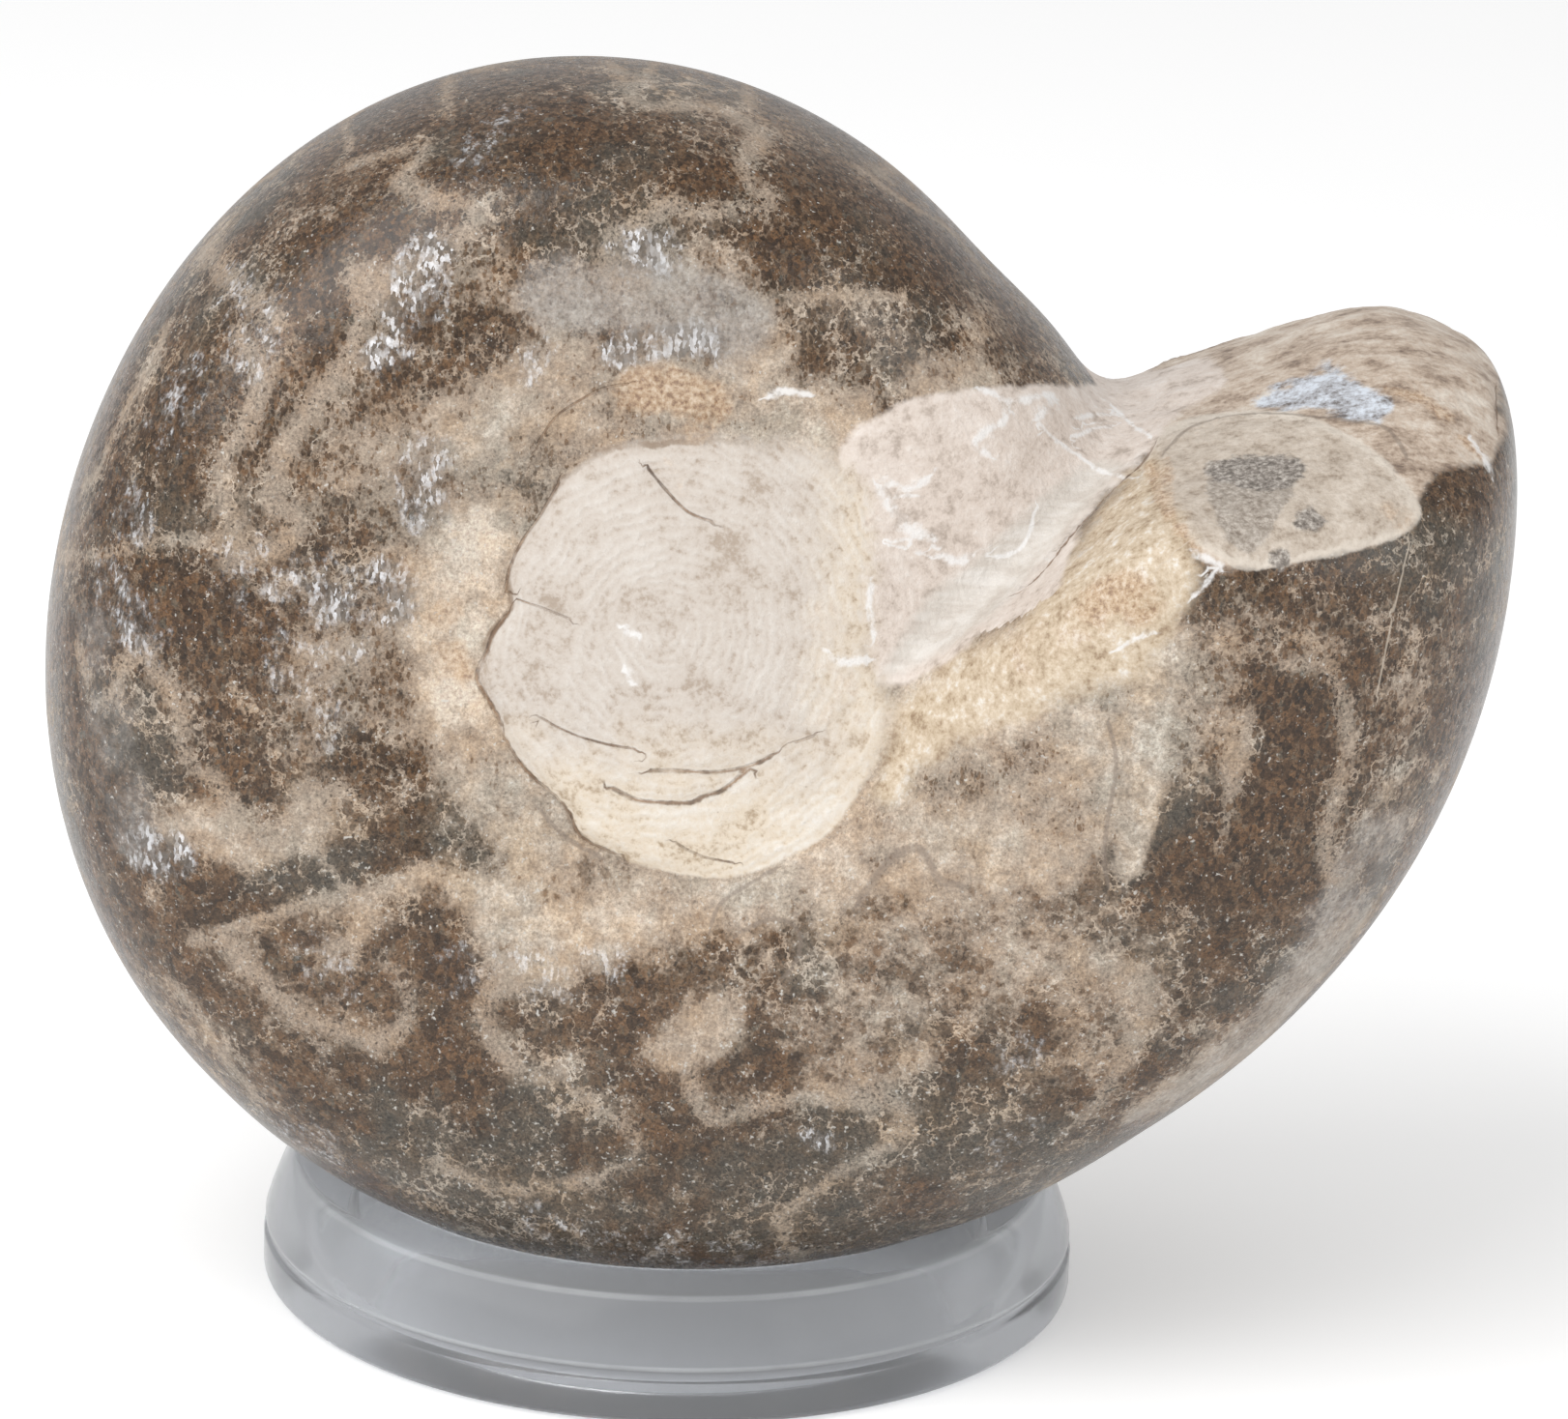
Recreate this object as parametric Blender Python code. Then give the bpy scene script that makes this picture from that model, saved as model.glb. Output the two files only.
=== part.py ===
"""A polished Vascoceras ammonite that stands in a clear ring stand.

Metres, +Z up. The shell faces -Y and the ring stand rests on Z = 0.
The fossil is one solid: the last whorl, the stub of the whorl before it, and the pale
stone that plugs the navel on each side, all ground and polished together.
"""

import math

import bmesh
import bpy
from mathutils import Matrix, Vector

MM = 0.001

# The coil, in its own plane: X to the right, Y up, Z out of the near flank.
# Angles are degrees, counter-clockwise from +X, and the shell grows that way.
APERTURE_ANGLE = 385.0
APERTURE_RADIUS = 60.3 * MM
GROWTH_PER_TURN = 2.01
# The polished rim isn't a true spiral: lobes per turn, their height and the angle of one.
RIM_LOBES = ((2, 0.017, 37.0), (3, 0.018, -9.0))
LAST_WHORL = (85.0, 400.0)
EARLY_WHORL = (-75.0, 135.0)

# The whorl's section, as ratios of the distance from the axis to the outer rim.
WIDEST_RATIO = 0.65
SEAM_RATIO = 0.12
SEAM_RATIO_AT_END = 0.30
SEAM_OPENS_FROM = 230.0
HALF_WIDTH_RATIO = 0.50
LEAST_HALF_WIDTH = 17.2 * MM
OUTER_SQUARENESS = 2.6
INNER_SQUARENESS = 3.0
UMBILICAL_FULLNESS = 0.05

# Stone left on the stub beside the broken end: its height, where, and how far it spreads.
STUB_SWELL = 2.8 * MM
STUB_SWELL_ANGLE = 22.0
STUB_SWELL_SPREAD = 24.0

# The broken end of the last whorl, from the navel outwards: each place it is ground down to
# at mid-width, and how much of the arch from mid-width to the flank the near side has.
END_STATIONS = (
    (Vector((4.0, -8.0, 0.0)) * MM, 0.0),
    (Vector((24.0, 3.6, 0.0)) * MM, 0.0),
    (Vector((33.0, 13.3, 0.0)) * MM, 0.15),
    (Vector((49.5, 19.6, 0.0)) * MM, 1.0),
    (Vector((88.0, 7.0, 0.0)) * MM, 1.0),
)
END_ARCH_RADIUS = 34.0 * MM
END_ARCH_STEPS = 20
CUTTER_REACH = 50.0 * MM

# The stone plug in the navel: radius and half height pairs, from the middle outwards.
PLUG_CENTRE = Vector((3.6, -1.5, 0.0)) * MM
PLUG_PROFILE = ((4.0, 20.8), (9.0, 20.6), (12.0, 20.2), (14.3, 19.6), (15.2, 18.0))
PLUG_TAPER = 0.008 / MM

# Where the fossil stands, upright, above the middle of the ring.
COIL_CENTRE = Vector((-3.2, -2.0, 52.4)) * MM

# The ring stand: its turned outline, as radius and height pairs.
RING_OUTLINE = (
    (22.0, 0.0), (28.3, 0.0), (28.8, 0.5), (28.8, 2.9), (28.4, 3.1), (28.5, 3.6), (28.3, 4.8),
    (27.7, 6.4), (26.6, 8.3), (26.0, 8.8), (23.6, 9.1), (23.0, 8.8), (22.2, 6.5), (21.5, 0.5),
)

STONE = {"Base Color": (0.16, 0.11, 0.075, 1.0), "Roughness": 0.22}
CLEAR_PLASTIC = {
    "Base Color": (0.90, 0.91, 0.92, 1.0), "Roughness": 0.18,
    "Transmission Weight": 1.0, "IOR": 1.49,
}

SECTION_STEP = 5.0
SECTION_POINTS = 40
PLUG_STEPS = 48
RING_STEPS = 72
VOXEL = 0.8 * MM
COIL_POLISH = 70
PLUG_POLISH = 14
KEPT_FACES = 0.08
SAME_POINT = 0.001 * MM
SMOOTH_BELOW = math.radians(32)


def whorl_radius(angle):
    """Distance from the coil's axis to the outer rim of the whorl."""
    turns = (angle - APERTURE_ANGLE) / 360.0
    return APERTURE_RADIUS * GROWTH_PER_TURN**turns


def rim_trim(angle):
    """How far the polished rim stands out from the true spiral, as a ratio."""
    ratio = 1.0
    for lobes, height, at in RIM_LOBES:
        ratio += height * math.cos(math.radians(lobes * (angle - at)))
    return ratio


def stub_swell(angle):
    """Extra height of the stub where stone was left on it beside the broken end."""
    away = (angle - STUB_SWELL_ANGLE) / STUB_SWELL_SPREAD
    if abs(away) > 1:
        return 0.0
    return STUB_SWELL * (1 + math.cos(math.pi * away)) / 2


def seam_ratio(angle):
    """Inner edge of the whorl: filled almost to the axis at first, open at the end."""
    along = (angle - SEAM_OPENS_FROM) / (APERTURE_ANGLE - SEAM_OPENS_FROM)
    along = min(max(along, 0.0), 1.0)
    return SEAM_RATIO + (SEAM_RATIO_AT_END - SEAM_RATIO) * along


def signed_power(value, exponent):
    return math.copysign(abs(value) ** exponent, value)


def whorl_section(angle):
    """One closed cross-section of the whorl, as points in the coil's own frame."""
    size = whorl_radius(angle)
    widest = WIDEST_RATIO * size
    outwards = size * rim_trim(angle) + stub_swell(angle) - widest
    inwards = widest - seam_ratio(angle) * size
    half_width = max(HALF_WIDTH_RATIO * size, LEAST_HALF_WIDTH)
    spoke = Vector((math.cos(math.radians(angle)), math.sin(math.radians(angle)), 0))
    points = []
    for i in range(SECTION_POINTS):
        turn = 2 * math.pi * i / SECTION_POINTS
        power = 2 / (OUTER_SQUARENESS if math.cos(turn) > 0 else INNER_SQUARENESS)
        out = signed_power(math.cos(turn), power)
        side = signed_power(math.sin(turn), power) * (1 - UMBILICAL_FULLNESS * out)
        reach = outwards if out > 0 else inwards
        points.append(spoke * (widest + reach * out) + Vector((0, 0, half_width * side)))
    return points


def new_object(name, bm):
    mesh = bpy.data.meshes.new(name)
    bm.to_mesh(mesh)
    bm.free()
    obj = bpy.data.objects.new(name, mesh)
    bpy.context.scene.collection.objects.link(obj)
    return obj


def skin(bm, rings):
    """Faces between closed rings of vertices, with the two ends filled."""
    for a, b in zip(rings, rings[1:]):
        for j in range(len(a)):
            k = (j + 1) % len(a)
            bm.faces.new((a[j], a[k], b[k], b[j]))
    bm.faces.new(rings[0])
    bm.faces.new(rings[-1])
    bmesh.ops.recalc_face_normals(bm, faces=bm.faces)


def whorl(name, first, last):
    """A closed tube of whorl sections from one angle to another."""
    bm = bmesh.new()
    steps = round((last - first) / SECTION_STEP)
    rings = []
    for i in range(steps + 1):
        angle = first + (last - first) * i / steps
        rings.append([bm.verts.new(p) for p in whorl_section(angle)])
    skin(bm, rings)
    return new_object(name, bm)


def navel_plug():
    """The stone in the navel: a stubby turned body, the same on both flanks."""
    bm = bmesh.new()
    half = [(r * MM, h * MM) for r, h in PLUG_PROFILE]
    profile = half + [(r, -h) for r, h in reversed(half)]
    rings = []
    for radius, height in profile:
        ring = []
        for i in range(PLUG_STEPS):
            turn = 2 * math.pi * i / PLUG_STEPS
            at = Vector((radius * math.cos(turn), radius * math.sin(turn), height))
            at.z *= 1 - PLUG_TAPER * at.y
            ring.append(bm.verts.new(PLUG_CENTRE + at))
        rings.append(ring)
    skin(bm, rings)
    return new_object("plug", bm)


def end_cutter():
    """What the broken end of the last whorl is ground back to."""
    bm = bmesh.new()
    rings = []
    for at, near_share in END_STATIONS:
        ring = []
        for i in range(END_ARCH_STEPS + 1):
            side = (2 * i / END_ARCH_STEPS - 1) * CUTTER_REACH
            share = near_share if side > 0 else 1.0
            drop = share * (math.hypot(END_ARCH_RADIUS, side) - END_ARCH_RADIUS)
            ring.append(bm.verts.new(at + Vector((0, -drop, side))))
        for side in (CUTTER_REACH, -CUTTER_REACH):
            ring.append(bm.verts.new(at + Vector((0, CUTTER_REACH, side))))
        rings.append(ring)
    skin(bm, rings)
    return new_object("end_cutter", bm)


def baked(obj):
    """The object's mesh with its modifiers in it; the object itself goes."""
    graph = bpy.context.evaluated_depsgraph_get()
    mesh = bpy.data.meshes.new_from_object(obj.evaluated_get(graph), depsgraph=graph)
    bpy.data.objects.remove(obj)
    return mesh


def fused(name, meshes, passes):
    """Overlapping solids grown into one skin, which is then polished."""
    bm = bmesh.new()
    for mesh in meshes:
        bm.from_mesh(mesh)
    obj = new_object(name, bm)
    remesh = obj.modifiers.new("one stone", "REMESH")
    remesh.mode = "VOXEL"
    remesh.voxel_size = VOXEL
    polish = obj.modifiers.new("polish", "SMOOTH")
    polish.factor = 0.5
    polish.iterations = passes
    return obj


def last_whorl():
    """The last whorl with its broken end ground back."""
    cutter = end_cutter()
    obj = whorl("last_whorl", *LAST_WHORL)
    cut = obj.modifiers.new("ground end", "BOOLEAN")
    cut.operation = "DIFFERENCE"
    cut.solver = "EXACT"
    cut.object = cutter
    mesh = baked(obj)
    bpy.data.objects.remove(cutter)
    return mesh


def finish(mesh, name, looks):
    """Smooth shading, but for real edges, and the object's own material."""
    mesh.shade_smooth()
    mesh.set_sharp_from_angle(angle=SMOOTH_BELOW)
    material = bpy.data.materials.new(name)
    material.use_nodes = True
    shader = material.node_tree.nodes["Principled BSDF"]
    for socket, value in looks.items():
        shader.inputs[socket].default_value = value
    material.diffuse_color = looks["Base Color"]
    mesh.materials.append(material)


def ammonite():
    early = baked(whorl("early_whorl", *EARLY_WHORL))
    coil = baked(fused("coil", (last_whorl(), early), COIL_POLISH))
    body = fused("ammonite", (coil, baked(navel_plug())), PLUG_POLISH)
    thin = body.modifiers.new("fewer faces", "DECIMATE")
    thin.ratio = KEPT_FACES
    mesh = baked(body)
    mesh.transform(Matrix.Translation(COIL_CENTRE) @ Matrix.Rotation(math.pi / 2, 4, "X"))
    finish(mesh, "dark_stone", STONE)
    return bpy.data.objects.new("ammonite", mesh)


def ring_stand():
    bm = bmesh.new()
    verts = [bm.verts.new(Vector((r, 0, z)) * MM) for r, z in RING_OUTLINE]
    edges = [bm.edges.new((a, b)) for a, b in zip(verts, verts[1:] + verts[:1])]
    bmesh.ops.spin(
        bm, geom=verts + edges, axis=(0, 0, 1), cent=(0, 0, 0), steps=RING_STEPS,
        angle=2 * math.pi, use_merge=True,
    )
    bmesh.ops.remove_doubles(bm, verts=bm.verts, dist=SAME_POINT)
    bmesh.ops.recalc_face_normals(bm, faces=bm.faces)
    mesh = bpy.data.meshes.new("ring_stand")
    bm.to_mesh(mesh)
    bm.free()
    finish(mesh, "clear_plastic", CLEAR_PLASTIC)
    return bpy.data.objects.new("ring_stand", mesh)


def centre_on_base(meshes):
    """Moves all the meshes so that the middle of the whole, at its foot, is the origin."""
    points = [v.co for mesh in meshes for v in mesh.vertices]
    low = Vector([min(p[i] for p in points) for i in range(3)])
    high = Vector([max(p[i] for p in points) for i in range(3)])
    middle = (low + high) / 2
    for mesh in meshes:
        mesh.transform(Matrix.Translation((-middle.x, -middle.y, -low.z)))


def main():
    for obj in list(bpy.data.objects):
        bpy.data.objects.remove(obj)
    objects = (ammonite(), ring_stand())
    centre_on_base([obj.data for obj in objects])
    for obj in objects:
        bpy.context.scene.collection.objects.link(obj)


main()
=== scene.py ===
"""A polished Vascoceras ammonite in a clear ring stand, dressed around its CAD frame."""

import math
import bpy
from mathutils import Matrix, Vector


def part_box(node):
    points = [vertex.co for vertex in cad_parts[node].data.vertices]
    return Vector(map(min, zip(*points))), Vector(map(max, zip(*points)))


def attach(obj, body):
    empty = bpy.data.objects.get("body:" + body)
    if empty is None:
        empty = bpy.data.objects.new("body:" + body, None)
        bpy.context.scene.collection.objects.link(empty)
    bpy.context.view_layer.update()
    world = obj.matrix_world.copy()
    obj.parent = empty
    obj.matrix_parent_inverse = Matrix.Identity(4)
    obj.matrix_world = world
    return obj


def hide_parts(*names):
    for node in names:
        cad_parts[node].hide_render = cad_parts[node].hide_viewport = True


bl_info = {
    "name": "Ammonite Fossil on a Ring Stand",
    "version": (1, 0, 0),
    "blender": (4, 5, 0),
    "location": "View3D > Sidebar > Ammonite",
    "description": "Builds a polished ammonite fossil standing in a clear ring stand",
    "category": "Add Mesh",
}

import bmesh
import bpy
import numpy as np
from bpy.props import FloatProperty, FloatVectorProperty, IntProperty, PointerProperty
from mathutils import Matrix, Vector, noise
from mathutils.bvhtree import BVHTree

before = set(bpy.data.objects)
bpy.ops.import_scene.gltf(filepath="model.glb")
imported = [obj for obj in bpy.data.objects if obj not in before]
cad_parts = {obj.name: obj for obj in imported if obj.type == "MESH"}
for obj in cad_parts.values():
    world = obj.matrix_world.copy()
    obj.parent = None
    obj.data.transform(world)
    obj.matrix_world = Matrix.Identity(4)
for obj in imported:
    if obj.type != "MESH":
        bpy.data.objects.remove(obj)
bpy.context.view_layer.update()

MM = 0.001
PHOTO_SIZE = (1622, 1468)
PIXELS_PER_MM = 14.4

RING_LOW, RING_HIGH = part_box("ring_stand")
RING_CENTRE = Vector(((RING_LOW.x + RING_HIGH.x) / 2, (RING_LOW.y + RING_HIGH.y) / 2, 0.0))
COIL_CENTRE = RING_CENTRE + Vector((-3.2, -2.0, 52.4)) * MM
GROWTH_PER_TURN = 2.01
FLOOR_GAP = 0.1 * MM
# The longest distance that is stored on the mesh.
FAR_OFF = 50.0

# Where the stone meets its ring: height, radius and how far up it is made fuller, in
# millimetres, the share of the room there that it fills, and a step round it in degrees.
SEAT_HEIGHT = 9.1
SEAT_RADIUS = 22.8
SEAT_RISE = 9
SEAT_SHARE = 0.62
SEAT_SECTOR = 15

# The camera of the photograph: its place from the ring's centre and its turn in degrees.
CAMERA_PLACE = RING_CENTRE + Vector((0.0, -416.9, 169.5)) * MM
CAMERA_TILT = 17.06
CAMERA_SWING = -0.94
CAMERA_ROLL = 2.19
CAMERA_FOCUS_PIXELS = 6521.0

# The ring's turned outline, as radius and height in millimetres, and the edges that get painted
# highlights.
RING_OUTLINE = (
    (22.0, 0.0), (28.1, 0.0), (28.55, 0.5), (28.55, 3.0), (28.25, 3.2), (28.25, 3.65),
    (28.5, 3.95), (28.2, 5.0), (27.6, 6.6), (26.9, 7.8), (26.55, 8.3), (26.1, 8.7), (23.05, 9.1),
    (22.6, 8.8), (22.0, 6.5), (21.5, 0.5),
)
RING_HIGHLIGHT_EDGES = ((23.1, 9.1), (26.55, 8.35), (28.5, 3.95))

# What follows is read off the photograph, in its pixels: x to the right, y down.
# Suture bands: half width in millimetres and the line along the middle.
SUTURES = (
    (0.72, ((621, 57), (645, 80), (652, 103), (672, 111), (724, 109), (755, 116), (786, 140),
            (770, 166), (778, 191), (799, 208), (786, 219), (766, 215), (724, 219), (688, 209),
            (673, 228), (641, 240), (633, 262), (652, 282), (690, 290))),
    (0.50, ((464, 80), (461, 100), (466, 122))),
    (0.45, ((355, 125), (362, 150), (352, 165))),
    (0.68, ((362, 171), (403, 157), (440, 152), (425, 175), (414, 188), (455, 205), (491, 212),
            (497, 228), (466, 253), (440, 274), (403, 290), (372, 300))),
    (1.00, ((207, 247), (230, 279), (259, 305), (290, 331))),
    (0.60, ((245, 345), (269, 383), (259, 429), (230, 478), (233, 517), (243, 556), (238, 583),
            (290, 564), (310, 538), (277, 517), (285, 497), (300, 455), (336, 404), (362, 362),
            (372, 321), (366, 283))),
    (0.55, ((62, 574), (103, 574), (135, 564), (171, 560), (207, 561))),
    (0.45, ((85, 505), (100, 490), (119, 445), (140, 404), (160, 372), (171, 340))),
    (0.60, ((80, 668), (90, 700), (98, 728), (118, 712), (129, 690), (150, 668), (158, 690),
            (176, 712), (186, 744), (191, 785), (218, 806), (238, 837), (232, 866))),
    (0.80, ((262, 896), (295, 868), (331, 832), (352, 817))),
    (0.40, ((197, 973), (248, 956), (290, 943), (336, 925))),
    (0.50, ((331, 884), (357, 920), (378, 941), (395, 946))),
    (0.45, ((336, 987), (372, 967), (396, 951))),
    (0.60, ((403, 1003), (424, 1028), (414, 1065), (388, 1078), (352, 1065), (310, 1049),
            (279, 1024), (258, 1000), (233, 978))),
    (0.55, ((176, 1016), (207, 1050), (233, 1096), (269, 1137))),
    (0.60, ((574, 1020), (548, 1016), (507, 1026), (497, 1055), (517, 1091), (559, 1117),
            (585, 1104))),
    (0.65, ((455, 1203), (497, 1220), (559, 1226), (621, 1216), (652, 1199), (657, 1177),
            (631, 1153), (600, 1132))),
    (0.60, ((690, 1092), (724, 1068), (742, 1050))),
    (0.60, ((714, 1120), (735, 1158), (765, 1150), (800, 1140), (850, 1137), (900, 1140))),
    (0.55, ((842, 1293), (816, 1277), (811, 1251), (842, 1231), (889, 1202), (925, 1181),
            (937, 1158), (918, 1135), (900, 1150))),
    (0.70, ((1215, 660), (1208, 700), (1194, 744), (1186, 786), (1178, 843), (1166, 895))),
    (0.35, ((1294, 735), (1288, 765), (1277, 800), (1271, 837), (1261, 879))),
    (0.60, ((1330, 690), (1372, 690), (1386, 720), (1396, 770), (1384, 815), (1372, 860),
            (1374, 900), (1392, 915))),
    (0.55, ((1101, 1040), (1112, 1012), (1142, 1003), (1180, 1012), (1184, 1044), (1168, 1086),
            (1147, 1122), (1121, 1158))),
    (0.35, ((1163, 1158), (1204, 1132), (1251, 1112), (1300, 1080))),
    (0.35, ((820, 308), (870, 305), (930, 308))),
    (0.50, ((890, 175), (930, 205), (985, 240), (1020, 285))),
)

# How light the stone is, from 0 dark to 1 pale: value, radius in millimetres, line or spot.
TONES = (
    # dark chambers of the upper left, and the brown ones beside them
    (0.12, 6.0, ((500, 125), (580, 140), (640, 160))),
    (0.14, 4.0, ((700, 150), (740, 180))),
    (0.30, 2.6, ((690, 95), (740, 92))),
    (0.12, 5.0, ((830, 240), (900, 235), (960, 275))),
    (0.30, 3.0, ((820, 120), (880, 165))),
    (0.26, 3.6, ((330, 200), (390, 205))),
    (0.16, 3.2, ((255, 260), (300, 300), (330, 330))),
    (0.12, 3.6, ((170, 470), (210, 440))),
    (0.10, 3.6, ((120, 540), (170, 610), (220, 640))),
    (0.30, 3.0, ((262, 500), (290, 430))),
    (0.24, 3.0, ((110, 450), (130, 390), (165, 330))),
    (0.20, 3.0, ((100, 640), (140, 650))),
    (0.28, 2.6, ((440, 370), (500, 365), (540, 380))),
    (0.30, 3.0, ((330, 560), (350, 620))),
    (0.30, 2.4, ((880, 345), (960, 350))),
    (0.36, 3.0, ((1010, 330), (1060, 375))),
    # the left and lower left
    (0.28, 3.0, ((225, 700), (240, 760), (255, 790))),
    (0.26, 2.0, ((130, 720), (160, 740))),
    (0.10, 3.2, ((110, 790), (160, 810))),
    (0.16, 3.0, ((380, 800), (410, 815))),
    (0.34, 2.4, ((430, 850), (500, 865))),
    (0.26, 2.4, ((160, 960), (200, 1010), (240, 1060))),
    (0.30, 3.0, ((300, 980), (350, 1020))),
    (0.14, 3.2, ((430, 980), (460, 1060), (450, 1110))),
    (0.20, 3.4, ((330, 1120), (400, 1160), (450, 1150))),
    (0.24, 2.0, ((545, 1050), (600, 1060))),
    (0.16, 2.2, ((520, 1160), (570, 1160), (600, 1180))),
    (0.22, 3.0, ((560, 1250), (680, 1275), (790, 1280))),
    (0.22, 2.2, ((860, 1255), (960, 1230))),
    (0.18, 2.4, ((740, 1180), (800, 1165), (860, 1175))),
    (0.34, 3.4, ((930, 1195), (1010, 1150), (1070, 1100), (1130, 1060))),
    (0.30, 2.6, ((760, 1010), (820, 1010))),
    (0.24, 2.4, ((660, 1080), (640, 1040))),
    # the right
    (0.50, 2.2, ((950, 830), (1010, 810), (1040, 850))),
    (0.14, 3.2, ((1340, 740), (1330, 800), (1310, 860))),
    (0.24, 3.2, ((1310, 900), (1275, 960), (1285, 1000))),
    (0.48, 3.0, ((1130, 950), (1180, 1000), (1130, 1080))),
    (0.36, 3.0, ((1350, 640), (1300, 640))),
    (0.27, 3.4, ((1440, 620), (1510, 560), (1530, 520))),
    (0.36, 3.2, ((1460, 720), (1490, 650))),
    (0.43, 3.6, ((1430, 860), (1470, 800))),
    (0.60, 3.8, ((1380, 980), (1300, 1070), (1220, 1130))),
    # light places around the navel and in the lower middle
    (0.88, 2.4, ((480, 560), (460, 620), (478, 740))),
    (0.66, 2.8, ((500, 430), (600, 390), (700, 375), (780, 400))),
    (0.68, 2.4, ((820, 430), (880, 450))),
    # Painted sheen: this pale band stands for light reflected off the polish.
    (0.52, 3.0, ((600, 330), (700, 300), (760, 320))),
    (0.56, 2.6, ((520, 830), (570, 880), (620, 925))),
    (0.70, 2.2, ((620, 960), (660, 965))),
    (0.64, 2.4, ((700, 925), (780, 925), (850, 900))),
    (0.60, 2.0, ((700, 1085), (740, 1060))),
    (0.68, 3.8, ((960, 900), (1060, 880), (1120, 820))),
    (0.48, 4.0, ((900, 1000), (980, 1010), (1060, 980))),
    (0.52, 2.6, ((860, 1105), (940, 1090))),
    (0.80, 3.6, ((980, 730), (1060, 700), (1120, 650))),
    (0.62, 3.0, ((1140, 760), (1160, 700))),
    (0.50, 3.0, ((1230, 690), (1250, 780))),
    (0.85, 0.9, ((1213, 665), (1194, 744), (1182, 843), (1168, 895))),
    (0.60, 1.4, ((845, 700), (900, 850), (850, 930))), (0.66, 1.6, ((480, 780), (540, 880))),
    (0.55, 2.0, ((250, 865), (180, 850))),
    (0.62, 1.6, ((960, 390), (1020, 400))),
    (0.50, 2.4, ((330, 690), (400, 700))),
    (0.12, 1.5, ((215, 940), (300, 912), (380, 890), (420, 868))),
)

# Frost in the stone, with painted silvery glints: strength, radius in millimetres, line or spot.
FROST_AND_PAINTED_GLINTS = (
    (0.8, 2.2, ((425, 320), (432, 290), (440, 268))), (0.75, 1.5, ((395, 370), (412, 355))),
    (0.9, 1.4, ((640, 365), (690, 352), (735, 358))), (0.6, 1.2, ((545, 385), (560, 360))),
    (0.5, 2.4, ((240, 290), (262, 330), (255, 370))), (0.55, 2.6, ((175, 430), (190, 400))),
    (0.55, 2.0, ((130, 520), (142, 545))), (0.60, 2.2, ((105, 600), (130, 640), (150, 660))),
    (0.85, 1.7, ((650, 262), (684, 262))), (0.7, 2.2, ((440, 480), (438, 520))),
    (0.55, 2.8, ((260, 590), (300, 600), (350, 620))), (0.8, 1.6, ((335, 612), (345, 625))),
    (0.8, 1.6, ((400, 600), (418, 625))), (0.5, 2.8, ((330, 670), (370, 650), (300, 680))),
    (0.8, 2.0, ((150, 880), (178, 885))), (0.45, 2.6, ((270, 1160), (330, 1180))),
    (0.5, 2.0, ((490, 160), (525, 120))), (0.45, 2.2, ((470, 1000), (640, 1010))),
    (0.8, 0.9, ((838, 1178), (856, 1182))), (0.5, 2.0, ((330, 990), (350, 1010))),
    (0.45, 2.4, ((560, 1255), (650, 1275), (780, 1285))), (0.4, 1.8, ((1030, 1195), (1060, 1170))),
    (0.45, 1.8, ((330, 760), (345, 745))), (0.5, 1.4, ((1040, 1095), (1070, 1085))),
)

# Rusty stains: strength, radius in millimetres, line or spot.
RUST = (
    (0.95, 1.7, ((655, 405), (690, 400), (735, 415))), (0.7, 1.2, ((735, 425), (725, 440))),
    (0.7, 1.2, ((452, 640), (470, 630))), (0.9, 1.2, ((462, 672), (478, 690))),
    (0.4, 2.4, ((545, 480), (530, 510))), (0.85, 1.6, ((1130, 625), (1160, 612), (1180, 625))),
    (0.5, 1.6, ((430, 590), (445, 610))), (0.8, 0.9, ((1434, 404), (1466, 410), (1494, 430))),
    (0.8, 0.8, ((1518, 455), (1530, 465))), (0.5, 1.2, ((1440, 530), (1450, 540))),
    (0.9, 0.5, ((1190, 480), (1203, 520), (1222, 552), (1242, 572))),
    (0.7, 0.6, ((1206, 478), (1206, 510), (1212, 540))), (0.5, 2.4, ((1120, 640), (1060, 680))),
    (0.3, 2.2, ((700, 95), (745, 95))), (0.35, 1.6, ((690, 495), (700, 500))),
    (0.25, 2.6, ((870, 480), (890, 540))), (0.3, 2.0, ((860, 640), (870, 760))),
)

# White remains of shell: half width in millimetres, line.
SHELL = (
    (0.30, ((910, 505), (924, 528), (940, 546), (960, 556))), (0.40, ((932, 540), (948, 552))),
    (0.20, ((915, 496), (930, 505), (948, 504), (962, 492))),
    (0.22, ((1016, 404), (1034, 412), (1038, 436), (1018, 448), (1008, 460), (1022, 470))),
    (0.24, ((1045, 416), (1068, 412), (1088, 411), (1072, 432))),
    (0.15, ((1079, 446), (1096, 460), (1113, 471), (1135, 484), (1155, 492), (1171, 494))),
    (0.13, ((1096, 458), (1114, 470), (1132, 484))),
    (0.18, ((1113, 434), (1130, 430), (1155, 430))), (0.16, ((1112, 452), (1132, 444), (1150, 441))),
    (0.14, ((1150, 420), (1172, 440), (1190, 452))),
    (0.26, ((974, 576), (990, 582), (1007, 574))),
    (0.10, ((1007, 574), (1030, 575), (1048, 570), (1064, 553), (1070, 528))),
    (0.10, ((915, 563), (940, 568), (966, 578))),
    (0.20, ((901, 606), (898, 628), (903, 656))),
    (0.24, ((858, 676), (872, 684), (894, 684))),
    (0.30, ((648, 650), (655, 655))), (0.26, ((650, 696), (653, 702))),
    (0.22, ((795, 410), (812, 404), (832, 408))), (0.30, ((1526, 456), (1534, 470), (1541, 488))),
    (0.24, ((1238, 572), (1250, 578), (1262, 585))), (0.16, ((1157, 671), (1175, 660), (1190, 655))),
    (0.14, ((1236, 615), (1246, 606), (1252, 596))),
)

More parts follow.
